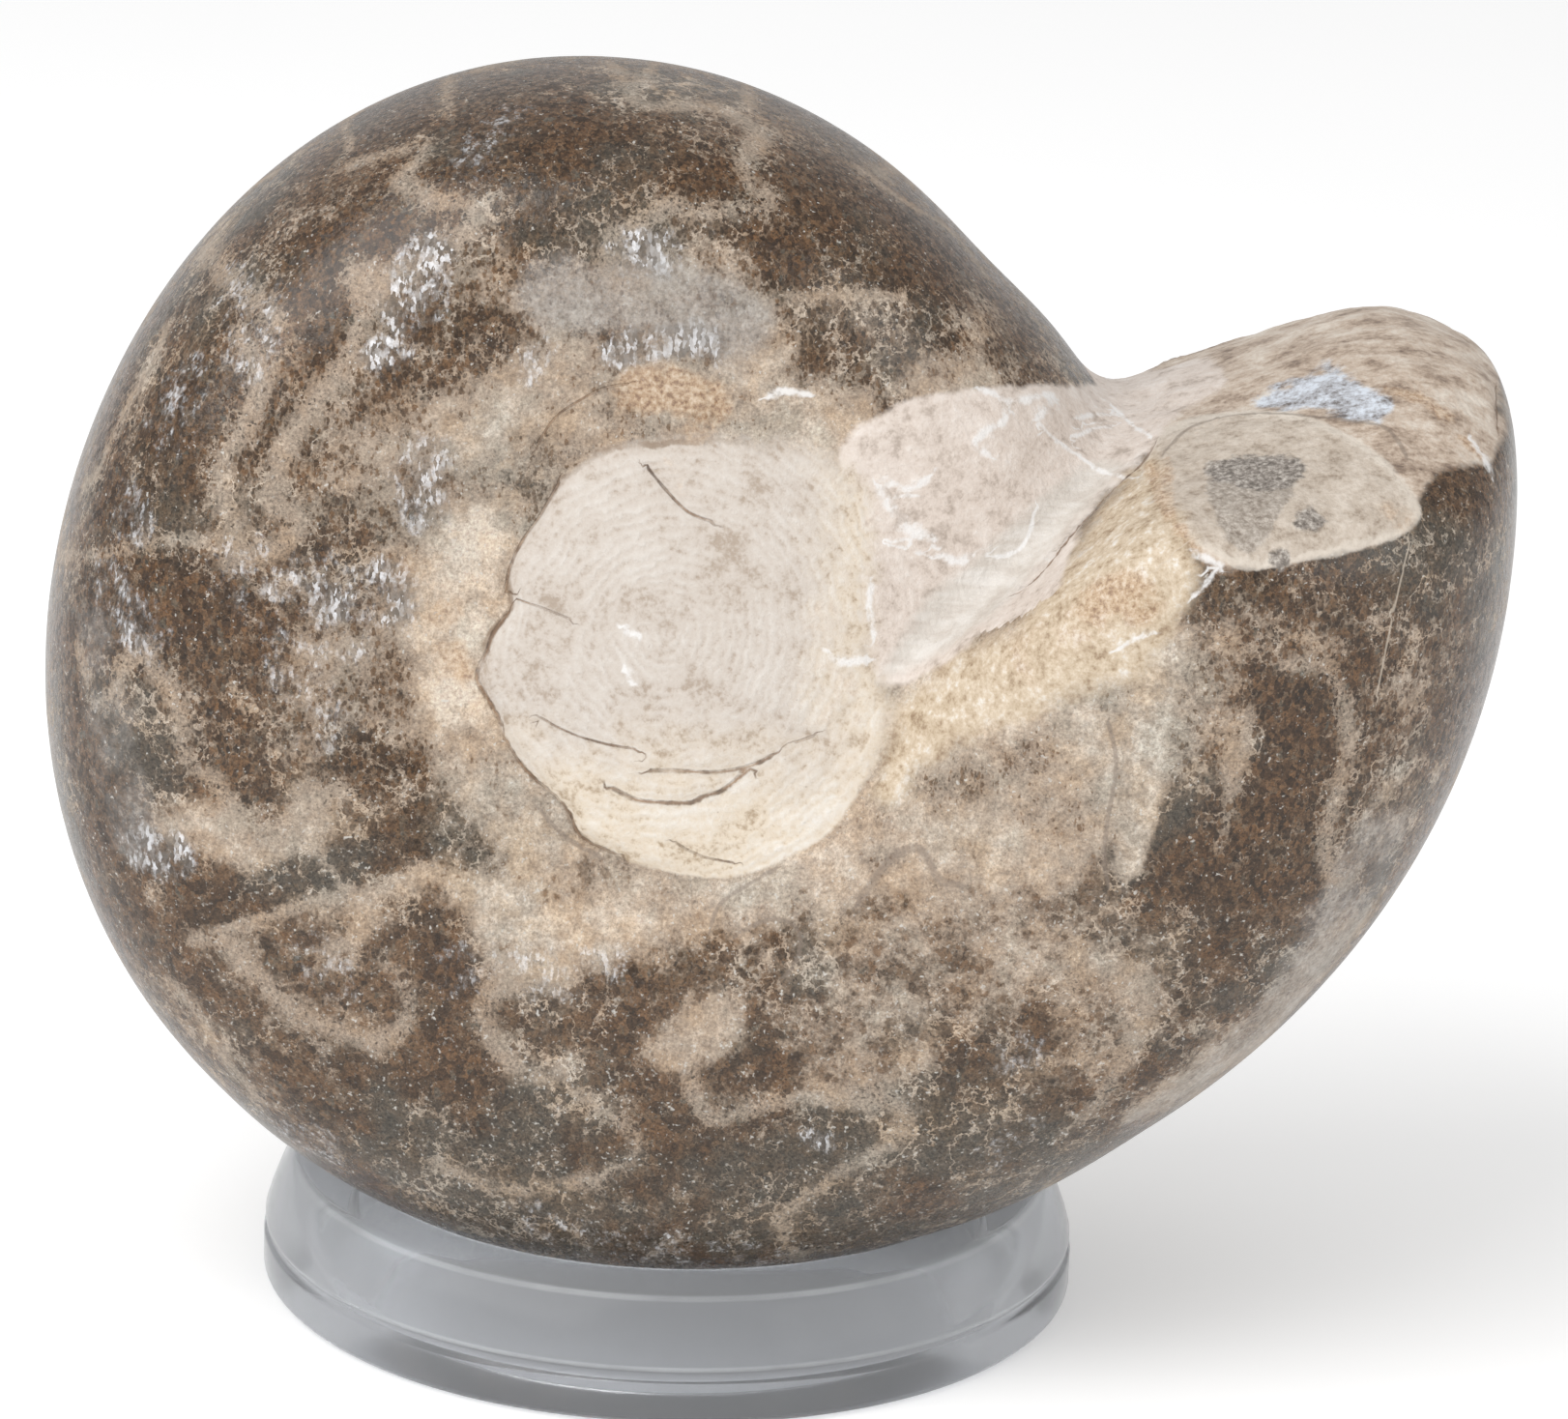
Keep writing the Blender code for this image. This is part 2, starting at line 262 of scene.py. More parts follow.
# Dark cracks: half width in millimetres, line.
CRACKS = (
    (0.11, ((672, 797), (700, 797), (735, 799), (760, 796), (784, 789), (800, 780))),
    (0.07, ((825, 767), (843, 760))),
    (0.12, ((774, 796), (748, 817), (728, 823), (715, 830), (676, 829), (656, 826), (633, 814))),
    (0.06, ((560, 742), (590, 758), (622, 768), (660, 775))),
    (0.06, ((700, 872), (728, 886), (758, 892))),
    (0.08, ((578, 500), (557, 535), (540, 559), (526, 590), (522, 612))),
    (0.13, ((523, 638), (510, 655), (503, 676), (492, 700), (503, 722), (518, 748))),
    (0.08, ((523, 766), (543, 797), (571, 821), (590, 842), (600, 866), (640, 885))),
    # A crack whose dark line along the step beside the channel is partly painted shadow of that
    # step.
    (0.08, ((1192, 462), (1174, 484), (1150, 505), (1110, 548), (1075, 590), (1050, 612))),
    (0.06, ((650, 398), (625, 402), (600, 415), (575, 432), (555, 462))),
    (0.07, ((670, 484), (690, 508), (712, 530), (738, 540))),
    (0.06, ((1545, 350), (1549, 400), (1551, 445))), (0.05, ((590, 640), (560, 628), (530, 618))),
)

# Brown-grey ridges that stand out a little: half width in millimetres, line.
RIDGES = (
    (0.30, ((889, 931), (908, 905), (925, 886), (946, 876), (961, 889), (971, 910), (992, 915))),
    (0.14, ((735, 960), (745, 935), (775, 915), (800, 900))),
    (0.14, ((1147, 750), (1155, 790), (1145, 853), (1142, 890), (1146, 912))),
    (0.14, ((765, 965), (800, 950), (826, 962), (826, 990), (812, 1010))),
    (0.16, ((1205, 470), (1240, 440), (1300, 428), (1370, 432), (1430, 440), (1455, 470))),
    (0.14, ((560, 840), (590, 870), (620, 885))),
)

# Fine scratches: half width in millimetres, line.
SCRATCHES = (
    (0.07, ((1458, 560), (1440, 640), (1424, 720))), (0.06, ((1452, 575), (1436, 640))),
    (0.06, ((1195, 590), (1230, 560))), (0.06, ((1010, 640), (970, 690))),
)

# Painted sheen, smooth grey reflections on the polish: strength, radius in millimetres, line or
# spot.
PAINTED_SHEEN_MARKS = (
    (0.9, 2.6, ((575, 300), (620, 312), (670, 305), (725, 318), (760, 335))),
    (0.45, 2.0, ((640, 380), (700, 372), (760, 370))),
    (0.72, 3.6, ((1420, 880), (1370, 980), (1290, 1080), (1200, 1150))),
    (0.55, 2.6, ((95, 660), (110, 760), (135, 860))),
)

# Outlines of whole regions, closed, and the middle of the plug.
PLUG_MIDDLE = (690, 655)
PLUG_OUTLINE = (
    (578, 500), (557, 535), (540, 559), (526, 587), (529, 624), (523, 637), (505, 659),
    (502, 676), (492, 697), (499, 714), (516, 745), (523, 766), (543, 797), (571, 821),
    (588, 841), (598, 862), (626, 879), (653, 890), (681, 900), (715, 907), (760, 907),
    (802, 893), (836, 876), (867, 852), (888, 821), (905, 790), (919, 759), (919, 724),
    (908, 690), (900, 655), (898, 610), (903, 570), (898, 520), (880, 485), (845, 464),
    (784, 459), (733, 456), (690, 459), (640, 462), (605, 478),
)
MATRIX_OUTLINE = (
    (884, 440), (940, 415), (1010, 402), (1080, 400), (1150, 396), (1200, 392), (1262, 380),
    (1260, 400), (1215, 430), (1192, 462), (1150, 500), (1110, 545), (1062, 598), (1030, 640),
    (985, 680), (930, 708), (898, 695), (890, 650), (886, 600), (890, 560), (884, 520),
    (866, 480),
)
CREAM_OUTLINE = (
    (1190, 470), (1215, 530), (1242, 580), (1225, 625), (1185, 700), (1115, 716), (1050, 748),
    (955, 790), (930, 832), (903, 818), (925, 760), (950, 712), (1000, 675), (1062, 646),
    (1075, 598), (1120, 550), (1160, 500),
)
CHANNEL_OUTLINE = (
    (1165, 480), (1120, 530), (1070, 588), (1020, 640), (960, 680), (915, 700), (930, 665),
    (960, 620), (1000, 585), (1050, 540), (1090, 505), (1130, 478),
)
END_OUTLINE = (
    (1150, 400), (1200, 386), (1260, 372), (1334, 340), (1380, 318), (1420, 309), (1480, 318),
    (1540, 345), (1552, 400), (1556, 450), (1535, 480), (1490, 485), (1455, 540), (1430, 560),
    (1370, 570), (1310, 585), (1265, 590), (1225, 560), (1195, 520), (1187, 480), (1180, 440),
)
EYE_OUTLINE = (
    (1189, 478), (1198, 452), (1235, 432), (1299, 424), (1351, 432), (1412, 460), (1446, 490),
    (1468, 528), (1455, 549), (1412, 566), (1351, 579), (1291, 588), (1248, 568), (1205, 534),
)
CORE_OUTLINE = (
    (1246, 480), (1300, 474), (1346, 478), (1340, 510), (1318, 545), (1300, 572), (1270, 560),
    (1252, 525),
)
PUPIL_OUTLINES = (
    ((1248, 484), (1290, 474), (1346, 480), (1342, 500), (1318, 512), (1285, 506), (1256, 500)),
    ((1338, 534), (1356, 530), (1370, 544), (1358, 553), (1342, 548)),
    ((1312, 574), (1328, 568), (1336, 580), (1322, 590)),
)
BLUE_OUTLINE = (
    (1300, 408), (1325, 396), (1360, 384), (1376, 376), (1396, 392), (1432, 404), (1438, 424),
    (1415, 436), (1370, 424), (1310, 418),
)


# Which of the regions the far flank has as well
REGIONS = (
    ("plug", PLUG_OUTLINE, True), ("matrix", MATRIX_OUTLINE, True), ("cream", CREAM_OUTLINE, True),
    ("channel", CHANNEL_OUTLINE, True), ("end", END_OUTLINE, True), ("eye", EYE_OUTLINE, False),
    ("core", CORE_OUTLINE, False), ("blue", BLUE_OUTLINE, False),
)

# Lines too thin for the mesh: each has a signed measure, and a reach that says it is close.
THIN_LINES = (("crack", CRACKS), ("ridge", RIDGES), ("scratch", SCRATCHES), ("shell", SHELL))

# Sutures over the rim: degrees round the coil, and millimetres.
RIM_FROM = 40.0
RIM_SPAN = 335.0
RIM_SWING = 3.2
RIM_POINTS = 25
RIM_START = 90
RIM_REACH = 22
RIM_SUTURE_WIDTH = 0.5
GRAZING = 0.12

# Lightness of the plain stone by millimetres from the coil's centre, and how cloudy it is.
TONE_RADII = (14.0, 22.0, 34.0)
TONE_LEVELS = (0.66, 0.42, 0.20)
TONE_CLOUDS = 0.20

# Relief in millimetres; the thin marks have a height and a width.
GROOVE_DEPTH = 0.22
GROOVE_WIDTH = 0.45
CHANNEL_DEPTH = 0.45
MOULD_HEIGHT = 0.14
LEDGE_SPACING = 1.7
LEDGE_HEIGHT = 0.20
MARK_RELIEF = (("crack", -0.22, 0.35), ("ridge", 0.12, 0.30), ("shell", 0.07, 0.35))

# Sizes of the stone's noises, crystals and arcs.
FINE_GRAIN = 0.40 * MM
MEDIUM_GRAIN = 1.4 * MM
CLOUD_GRAIN = 4.5 * MM
BROAD_GRAIN = 11.0 * MM
DUST_GRAIN = 0.21 * MM
FLECK_GRAIN = 0.28 * MM
SMALL_CRYSTAL = 0.33 * MM
BIG_CRYSTAL = 0.82 * MM
NEEDLE = 0.23 * MM
ARC_SPACING = 0.70 * MM
STONE_BENDING = 1.42

# Colours of the stone; where there are several, each has its place between dark and light.
GREY_GROUND = (
    (0.00, (0.050, 0.045, 0.036)), (0.35, (0.140, 0.130, 0.108)), (0.65, (0.31, 0.285, 0.24)),
    (1.00, (0.50, 0.47, 0.42)),
)
DUST = ((0.32, (0.16, 0.16, 0.16)), (0.68, (0.84, 0.84, 0.84)))
HUES = ((0.36, (0.90, 0.97, 1.0)), (0.48, (1.0, 1.0, 1.0)), (0.64, (1.0, 0.87, 0.71)))
# Painted glints: the pale flecks; the dark pits after them are the stone's own.
GLINT_FLECK_COLOUR = (0.56, 0.54, 0.50)
PIT_COLOUR = (0.030, 0.021, 0.015)
# Painted glints: the silvery colours laid over the frost.
PAINTED_GLINT_SILVER = ((0.0, (0.10, 0.085, 0.072)), (0.35, (0.27, 0.25, 0.235)), (0.9, (0.73, 0.74, 0.77)))
# Painted sheen: the greys of reflections on the polish.
PAINTED_SHEEN_GREYS = ((0.3, (0.17, 0.155, 0.14)), (0.7, (0.42, 0.405, 0.39)))
END_STONE = (
    (0.44, (0.15, 0.105, 0.078)), (0.55, (0.33, 0.25, 0.19)), (0.64, (0.48, 0.385, 0.305)),
    (0.80, (0.64, 0.57, 0.49)),
)
BLUE_STONE = ((0.42, (0.14, 0.125, 0.12)), (0.52, (0.40, 0.41, 0.44)), (0.64, (0.62, 0.67, 0.74)))
MOULD = ((0.38, (0.26, 0.20, 0.15)), (0.54, (0.46, 0.39, 0.32)), (0.74, (0.60, 0.53, 0.455)))
MOULD_LIP = (0.70, 0.64, 0.56)
MOULD_MIDDLE = ((0.34, (0.10, 0.085, 0.07)), (0.50, (0.24, 0.21, 0.185)), (0.68, (0.52, 0.48, 0.43)))
CREAM_STONE = (
    (0.33, (0.27, 0.185, 0.115)), (0.44, (0.47, 0.37, 0.26)), (0.55, (0.60, 0.50, 0.38)),
    (0.68, (0.74, 0.71, 0.66)),
)
PINK_STONE = (
    (0.36, (0.40, 0.335, 0.285)), (0.47, (0.60, 0.52, 0.46)), (0.60, (0.68, 0.61, 0.555)),
    (0.72, (0.74, 0.71, 0.68)),
)
CHANNEL_STONE = ((0.36, (0.50, 0.45, 0.40)), (0.50, (0.58, 0.54, 0.49)), (0.64, (0.66, 0.63, 0.59)))
FILL_SPECKS = (0.22, 0.16, 0.12)
PLUG_STONE = (
    (0.32, (0.38, 0.31, 0.25)), (0.42, (0.52, 0.46, 0.405)), (0.55, (0.575, 0.525, 0.475)),
    (0.68, (0.62, 0.58, 0.535)),
)
PLUG_ROUGH = (
    (0.30, (0.38, 0.29, 0.20)), (0.40, (0.62, 0.53, 0.42)), (0.55, (0.68, 0.62, 0.54)),
    (0.68, (0.72, 0.69, 0.64)),
)
PLUG_SPECKS = (0.17, 0.115, 0.075)
PLUG_EDGE = (0.20, 0.135, 0.085)
RUST_STAIN = ((0.36, (0.20, 0.10, 0.05)), (0.48, (0.42, 0.27, 0.155)), (0.66, (0.62, 0.49, 0.36)))
CRACK_FILL = ((0.35, (0.07, 0.04, 0.025)), (0.65, (0.30, 0.18, 0.10)))
SHELL_WHITE = (0.76, 0.75, 0.74)
RIDGE_BROWN = (0.19, 0.15, 0.12)
SCRATCH_TAN = (0.55, 0.47, 0.38)

# The ring: how far to a side it is clear, in millimetres, how much painted shade darkens it between,
# and two tints: painted shade for the top land and painted highlights for the edges.
RING_SIDE = 29.0
FRONT_BACK_SHADE = 0.70
LAND_SHADE_TINT = (0.22, 0.22, 0.21)
EDGE_HIGHLIGHT_TINT = (0.8, 0.82, 0.83)

# The two lamps, in metres.
KEY_SIZE = 0.6
KEY_PLACE = (-0.38, -0.35, 0.55)
FILL_SIZE = 0.5
FILL_PLACE = (0.6, -0.5, 0.35)
LAMP_TARGET = (0, 0, 0.05)


# The camera of the photograph

def camera_axes():
    """Right, up and back of the photograph's camera."""
    tilt = math.radians(CAMERA_TILT)
    swing = math.radians(CAMERA_SWING)
    roll = math.radians(CAMERA_ROLL)
    back = Vector((
        math.sin(swing) * math.cos(tilt), -math.cos(swing) * math.cos(tilt), math.sin(tilt)
    ))
    level = Vector((math.cos(swing), math.sin(swing), 0.0))
    upright = back.cross(level)
    right = level * math.cos(roll) + upright * math.sin(roll)
    up = upright * math.cos(roll) - level * math.sin(roll)
    return right, up, back


def photo_ray(pixel):
    """Direction from the camera through a pixel of the photograph."""
    right, up, back = camera_axes()
    across = (pixel[0] - PHOTO_SIZE[0] / 2) / CAMERA_FOCUS_PIXELS
    above = (PHOTO_SIZE[1] / 2 - pixel[1]) / CAMERA_FOCUS_PIXELS
    return (right * across + up * above - back).normalized()


def photo_pixels(points):
    """Where points lie in the photograph, as an array of pixels."""
    right, up, back = (np.array(axis) for axis in camera_axes())
    away = points - np.array(CAMERA_PLACE)
    depth = -(away @ back)
    x = PHOTO_SIZE[0] / 2 + CAMERA_FOCUS_PIXELS * (away @ right) / depth
    y = PHOTO_SIZE[1] / 2 - CAMERA_FOCUS_PIXELS * (away @ up) / depth
    return np.stack([x, y], axis=1)


# Lines laid on the stone

def curved(points, steps=3):
    """A line through the points with rounded corners."""
    if len(points) < 3:
        return [Vector(p) for p in points]
    ends = [points[0]] + list(points) + [points[-1]]
    line = []
    for a, b, c, d in zip(ends, ends[1:], ends[2:], ends[3:]):
        a, b, c, d = (Vector(p) for p in (a, b, c, d))
        for i in range(steps):
            t = i / steps
            line.append(0.5 * (
                2 * b + (c - a) * t + (2 * a - 5 * b + 4 * c - d) * t**2
                + (3 * b - a - 3 * c + d) * t**3))
    line.append(Vector(points[-1]))
    return line


def laid_on_stone(pixels, tree):
    """Points of the stone under a line of photograph pixels; those off it are left out."""
    points = []
    for pixel in curved(pixels):
        hit = tree.ray_cast(CAMERA_PLACE, photo_ray(pixel))[0]
        if hit is not None:
            points.append(hit)
    return points


def on_other_flank(points, tree, turn):
    """The same line on the far flank, turned along the spiral by some degrees."""
    scale = GROWTH_PER_TURN ** (turn / 360.0)
    spin = Matrix.Rotation(-math.radians(turn), 3, "Y")
    moved = []
    for point in points:
        away = point - COIL_CENTRE
        away.y = -away.y
        moved.append(tree.find_nearest(COIL_CENTRE + spin @ (away * scale))[0])
    return moved


def across_rim(angle, tree, wobble):
    """A suture line from flank to flank over the rim, at an angle of the coil."""
    points = []
    for i in range(RIM_POINTS):
        across = 2 * i / (RIM_POINTS - 1) - 1
        lobes = math.sin(across * 7.0 + wobble) + 0.6 * math.sin(across * 15.0 + 2 * wobble)
        lobes *= 1.0 + 0.5 * math.sin(3 * wobble)
        turn = math.radians(angle + RIM_SWING * lobes)
        outward = Vector((math.cos(turn), 0.0, math.sin(turn)))
        aside = Vector((0, across * RIM_REACH * MM, 0))
        start = COIL_CENTRE + outward * RIM_START * MM + aside
        hit = tree.ray_cast(start, -outward)[0]
        if hit is not None:
            points.append(hit)
    return points


def line_distance(verts, line, signs=None):
    """Distance of each vertex from a line, and on which side it lies if normals are given."""
    pts = np.array([tuple(p) for p in line])
    best = np.full(len(verts), 1.0)
    side = np.ones(len(verts))
    if len(pts) == 1:
        return np.linalg.norm(verts - pts[0], axis=1), side
    for a, b in zip(pts, pts[1:]):
        along = b - a
        length = float(along @ along) or 1e-12
        t = np.clip(((verts - a) @ along) / length, 0, 1)
        off = verts - a - t[:, None] * along
        dist = np.linalg.norm(off, axis=1)
        nearer = dist < best
        best[nearer] = dist[nearer]
        if signs is not None:
            turned = np.cross(np.broadcast_to(along, off.shape)[nearer], off[nearer])
            side[nearer] = np.sign((turned * signs[nearer]).sum(axis=1) + 1e-15)
    return best, side


def smooth_fall(distance, radius):
    """1 at the middle, falling softly to 0 at 1.5 radii."""
    t = np.clip((1.5 - distance / radius) / 1.0, 0, 1)
    return t * t * (3 - 2 * t)


def outline_distance(pixels, outline):
    """Signed distance in pixels from a closed outline, negative inside."""
    ring = np.array([tuple(p) for p in curved(tuple(outline) + (outline[0],))])
    best = np.full(len(pixels), 1e9)
    inside = np.zeros(len(pixels), bool)
    for a, b in zip(ring, ring[1:]):
        along = b - a
        length = float(along @ along) or 1e-12
        t = np.clip(((pixels - a) @ along) / length, 0, 1)
        best = np.minimum(best, np.linalg.norm(pixels - a - t[:, None] * along, axis=1))
        crosses = (a[1] > pixels[:, 1]) != (b[1] > pixels[:, 1])
        rise = (b[1] - a[1]) or 1e-12
        x = a[0] + (pixels[:, 1] - a[1]) * (b[0] - a[0]) / rise
        inside ^= crosses & (pixels[:, 0] < x)
    return np.where(inside, -best, best)


# What the stone's surface is made of, stored on its vertices

def cloudy(verts, scale, *shape):
    """A cloudy noise about zero at each vertex; shape is its roughness, gap and octaves."""
    return np.array([noise.fractal(Vector(vert) * scale, *shape) for vert in verts])


def base_tone(verts):
    """Lightness of the plain stone: paler round the navel, and cloudy."""
    centre = np.array(COIL_CENTRE)
    away = np.hypot(verts[:, 0] - centre[0], verts[:, 2] - centre[2]) / MM
    return np.interp(away, TONE_RADII, TONE_LEVELS) + TONE_CLOUDS * cloudy(verts, 70, 0.9, 2.0, 3)


def both_flanks(pixels, tree, turn):
    """A line as laid on the near flank, and its twin on the far one."""
    near = laid_on_stone(pixels, tree)
    if not near:
        return []
    return [near, on_other_flank(near, tree, turn)]


def painted(verts, marks, tree, turn, start=None):
    """Lays marks of value, radius and line over a start value, or takes the strongest."""
    field = np.zeros(len(verts)) if start is None else start.copy()
    for value, radius, pixels in marks:
        for line in both_flanks(pixels, tree, turn):
            distance = line_distance(verts, line)[0]
            weight = smooth_fall(distance, radius * MM)
            if start is None:
                field = np.maximum(field, value * weight)
            else:
                field += (value - field) * weight * 0.9
    return field


def nearest_mark(verts, lines, signs=None):
    """Distance from the nearest of several lines, in its half widths and in millimetres."""
    best = np.full(len(verts), FAR_OFF)
    reach = np.full(len(verts), FAR_OFF)
    for half_width, line in lines:
        distance, side = line_distance(verts, line, signs)
        ratio = distance / (half_width * MM)
        nearer = ratio < np.abs(best)
        best[nearer] = (ratio * side)[nearer]
        reach = np.minimum(reach, distance / MM)
    return best, reach


def marks_on_flanks(marks, tree, turn):
    """The lines of some marks on both flanks, each with its half width."""
    return [
        (half_width, line) for half_width, pixels in marks
        for line in both_flanks(pixels, tree, turn)
    ]


def hidden_part(line, tree):
    """The stretch of a line that the photograph's camera doesn't see."""
    run = []
    for point in line:
        normal = tree.find_nearest(point)[1]
        if normal.dot((CAMERA_PLACE - point).normalized()) < GRAZING:
            run.append(point)
        elif len(run) > 1:
            break
    return run


def suture_lines(tree, settings):
    """The near flank's sutures, their twins, and the ones over the rim that nobody sees."""
    lines = marks_on_flanks(SUTURES, tree, settings.far_flank_turn)
    for i in range(settings.rim_sutures):
        angle = RIM_FROM + RIM_SPAN * i / settings.rim_sutures + 3.5 * math.sin(2.3 * i)
        run = hidden_part(across_rim(angle, tree, 1.7 * i), tree)
        if len(run) > 1:
            lines.append((RIM_SUTURE_WIDTH, run))
    return lines


def region_distance(verts, normals, outline, far=True):
    """Signed millimetres from a region's outline, as seen on the near or the far flank."""
    place = np.array(CAMERA_PLACE)
    field = np.full(len(verts), 12.0)
    for mirrored in (False, True) if far else (False,):
        pts, nrm = verts.copy(), normals.copy()
        if mirrored:
            pts[:, 1] = 2 * COIL_CENTRE.y - pts[:, 1]
            nrm[:, 1] *= -1
        to_camera = place - pts
        to_camera /= np.linalg.norm(to_camera, axis=1)[:, None]
        seen = (nrm * to_camera).sum(axis=1) > 0.03
        pixels = photo_pixels(pts[seen])
        if mirrored:
            pixels += 10 * np.sin(pixels[:, ::-1] / 45.0)
        distance = outline_distance(pixels, outline) / PIXELS_PER_MM
        field[seen] = np.minimum(field[seen], distance)
    return field


def store(mesh, name, values):
    attribute = mesh.attributes.new(name, "FLOAT", "POINT")
    values = np.clip(values, -FAR_OFF, FAR_OFF).astype(np.float32)
    attribute.data.foreach_set("value", values)


def stone_fields(verts, normals, tree, settings):
    """Every measure the stone's material reads, by name."""
    turn = settings.far_flank_turn
    fields = {
        name: region_distance(verts, normals, outline, far) for name, outline, far in REGIONS
    }
    pupils = [region_distance(verts, normals, ring, far=False) for ring in PUPIL_OUTLINES]
    fields["pupil"] = np.min(pupils, axis=0)
    filled = np.minimum.reduce([fields[name] for name in ("plug", "matrix", "cream", "end")])
    fields["filled"] = np.clip(-filled, 0, 1)
    fields["tone"] = painted(verts, TONES, tree, turn, base_tone(verts))
    # The frost marks carry painted glints, and the veil marks painted grey sheen.
    for name, marks in (("frost_painted_glint", FROST_AND_PAINTED_GLINTS), ("rust", RUST), ("painted_sheen", PAINTED_SHEEN_MARKS)):
        fields[name] = painted(verts, marks, tree, turn)
    fields["suture"] = nearest_mark(verts, suture_lines(tree, settings))[0]
    for name, marks in THIN_LINES:
        lines = marks_on_flanks(marks, tree, 0.0)
        fields[name], fields[name + "_reach"] = nearest_mark(verts, lines, normals)
    return fields


def relief(verts, fields, settings, plug_middle):
    """How far each vertex moves along its normal, in millimetres."""
    plug = fields["plug"]
    clouds = cloudy(verts, 300, 0.8, 2.1, 4)
    bumps = cloudy(verts, 110, 0.9, 2.0, 3)
    away = (verts - np.array(plug_middle)) / MM
    sharp = np.clip(1.0 - (away[:, 0] + away[:, 2]) / 18, 0.15, 1)
    inside = np.clip(0.5 - plug / 0.8, 0, 1)
    offset = settings.plug_height / MM * inside * (0.4 + 0.6 * sharp)
    offset -= GROOVE_DEPTH * sharp * np.exp(-((plug + 0.1 + 0.5 * bumps) / GROOVE_WIDTH) ** 2)
    offset += ledges(away, bumps) * np.clip(-plug / 1.2, 0, 1)
    offset -= CHANNEL_DEPTH * np.clip(-fields["channel"] / 1.8, 0, 1)
    offset += MOULD_HEIGHT * np.clip(0.5 - fields["eye"] / 0.7, 0, 1)
    for name, height, width in MARK_RELIEF:
        offset += height * np.exp(-(fields[name + "_reach"] / width) ** 2)
    filled = np.clip(-np.minimum(fields["matrix"], fields["cream"]), 0, 1)
    offset += 0.10 * filled * clouds + 0.16 * filled * bumps
    end = np.clip(-fields["end"], 0, 1)
    offset += 0.10 * end * clouds + 0.30 * end * bumps
    offset += 0.05 * np.clip(-plug, 0, 1) * clouds
    return offset + seated(verts)


def seated(verts):
    """How much fuller the low belly is, so that the stone sits close in its ring."""
    away = (verts - np.array(RING_CENTRE)) / MM
    radius = np.hypot(away[:, 0], away[:, 1])
    angle = np.degrees(np.arctan2(away[:, 1], away[:, 0]))
    level = np.abs(away[:, 2] - SEAT_HEIGHT) < 0.4
    sector = np.round(angle[level] / SEAT_SECTOR) * SEAT_SECTOR
    middles = np.unique(sector)
    stone = [radius[level][sector == middle].mean() for middle in middles]
    room = np.clip(SEAT_RADIUS - np.interp(angle, middles, stone, period=360), 0, 3)
    low = np.clip((SEAT_HEIGHT + SEAT_RISE - away[:, 2]) / SEAT_RISE, 0, 1)
    outer = np.clip(radius / 8 - 1, 0, 1)
    return SEAT_SHARE * room * outer * low * low * (3 - 2 * low)


def ledges(away, bumps):
    """Shallow steps that follow the arcs of the plug in its lower half, in millimetres."""
    radius = np.hypot(away[:, 0], away[:, 2]) + 1.6 * bumps
    lower = np.clip(-away[:, 2] / 4, 0, 1)
    step = (radius / LEDGE_SPACING) % 1.0
    return LEDGE_HEIGHT * lower * np.clip(radius / 5 - 1, 0, 1) * (step - 0.5)


# Node helpers

def solid(colour):
    """A colour with full cover, as a colour socket takes it."""
    return tuple(colour) + (1.0,)


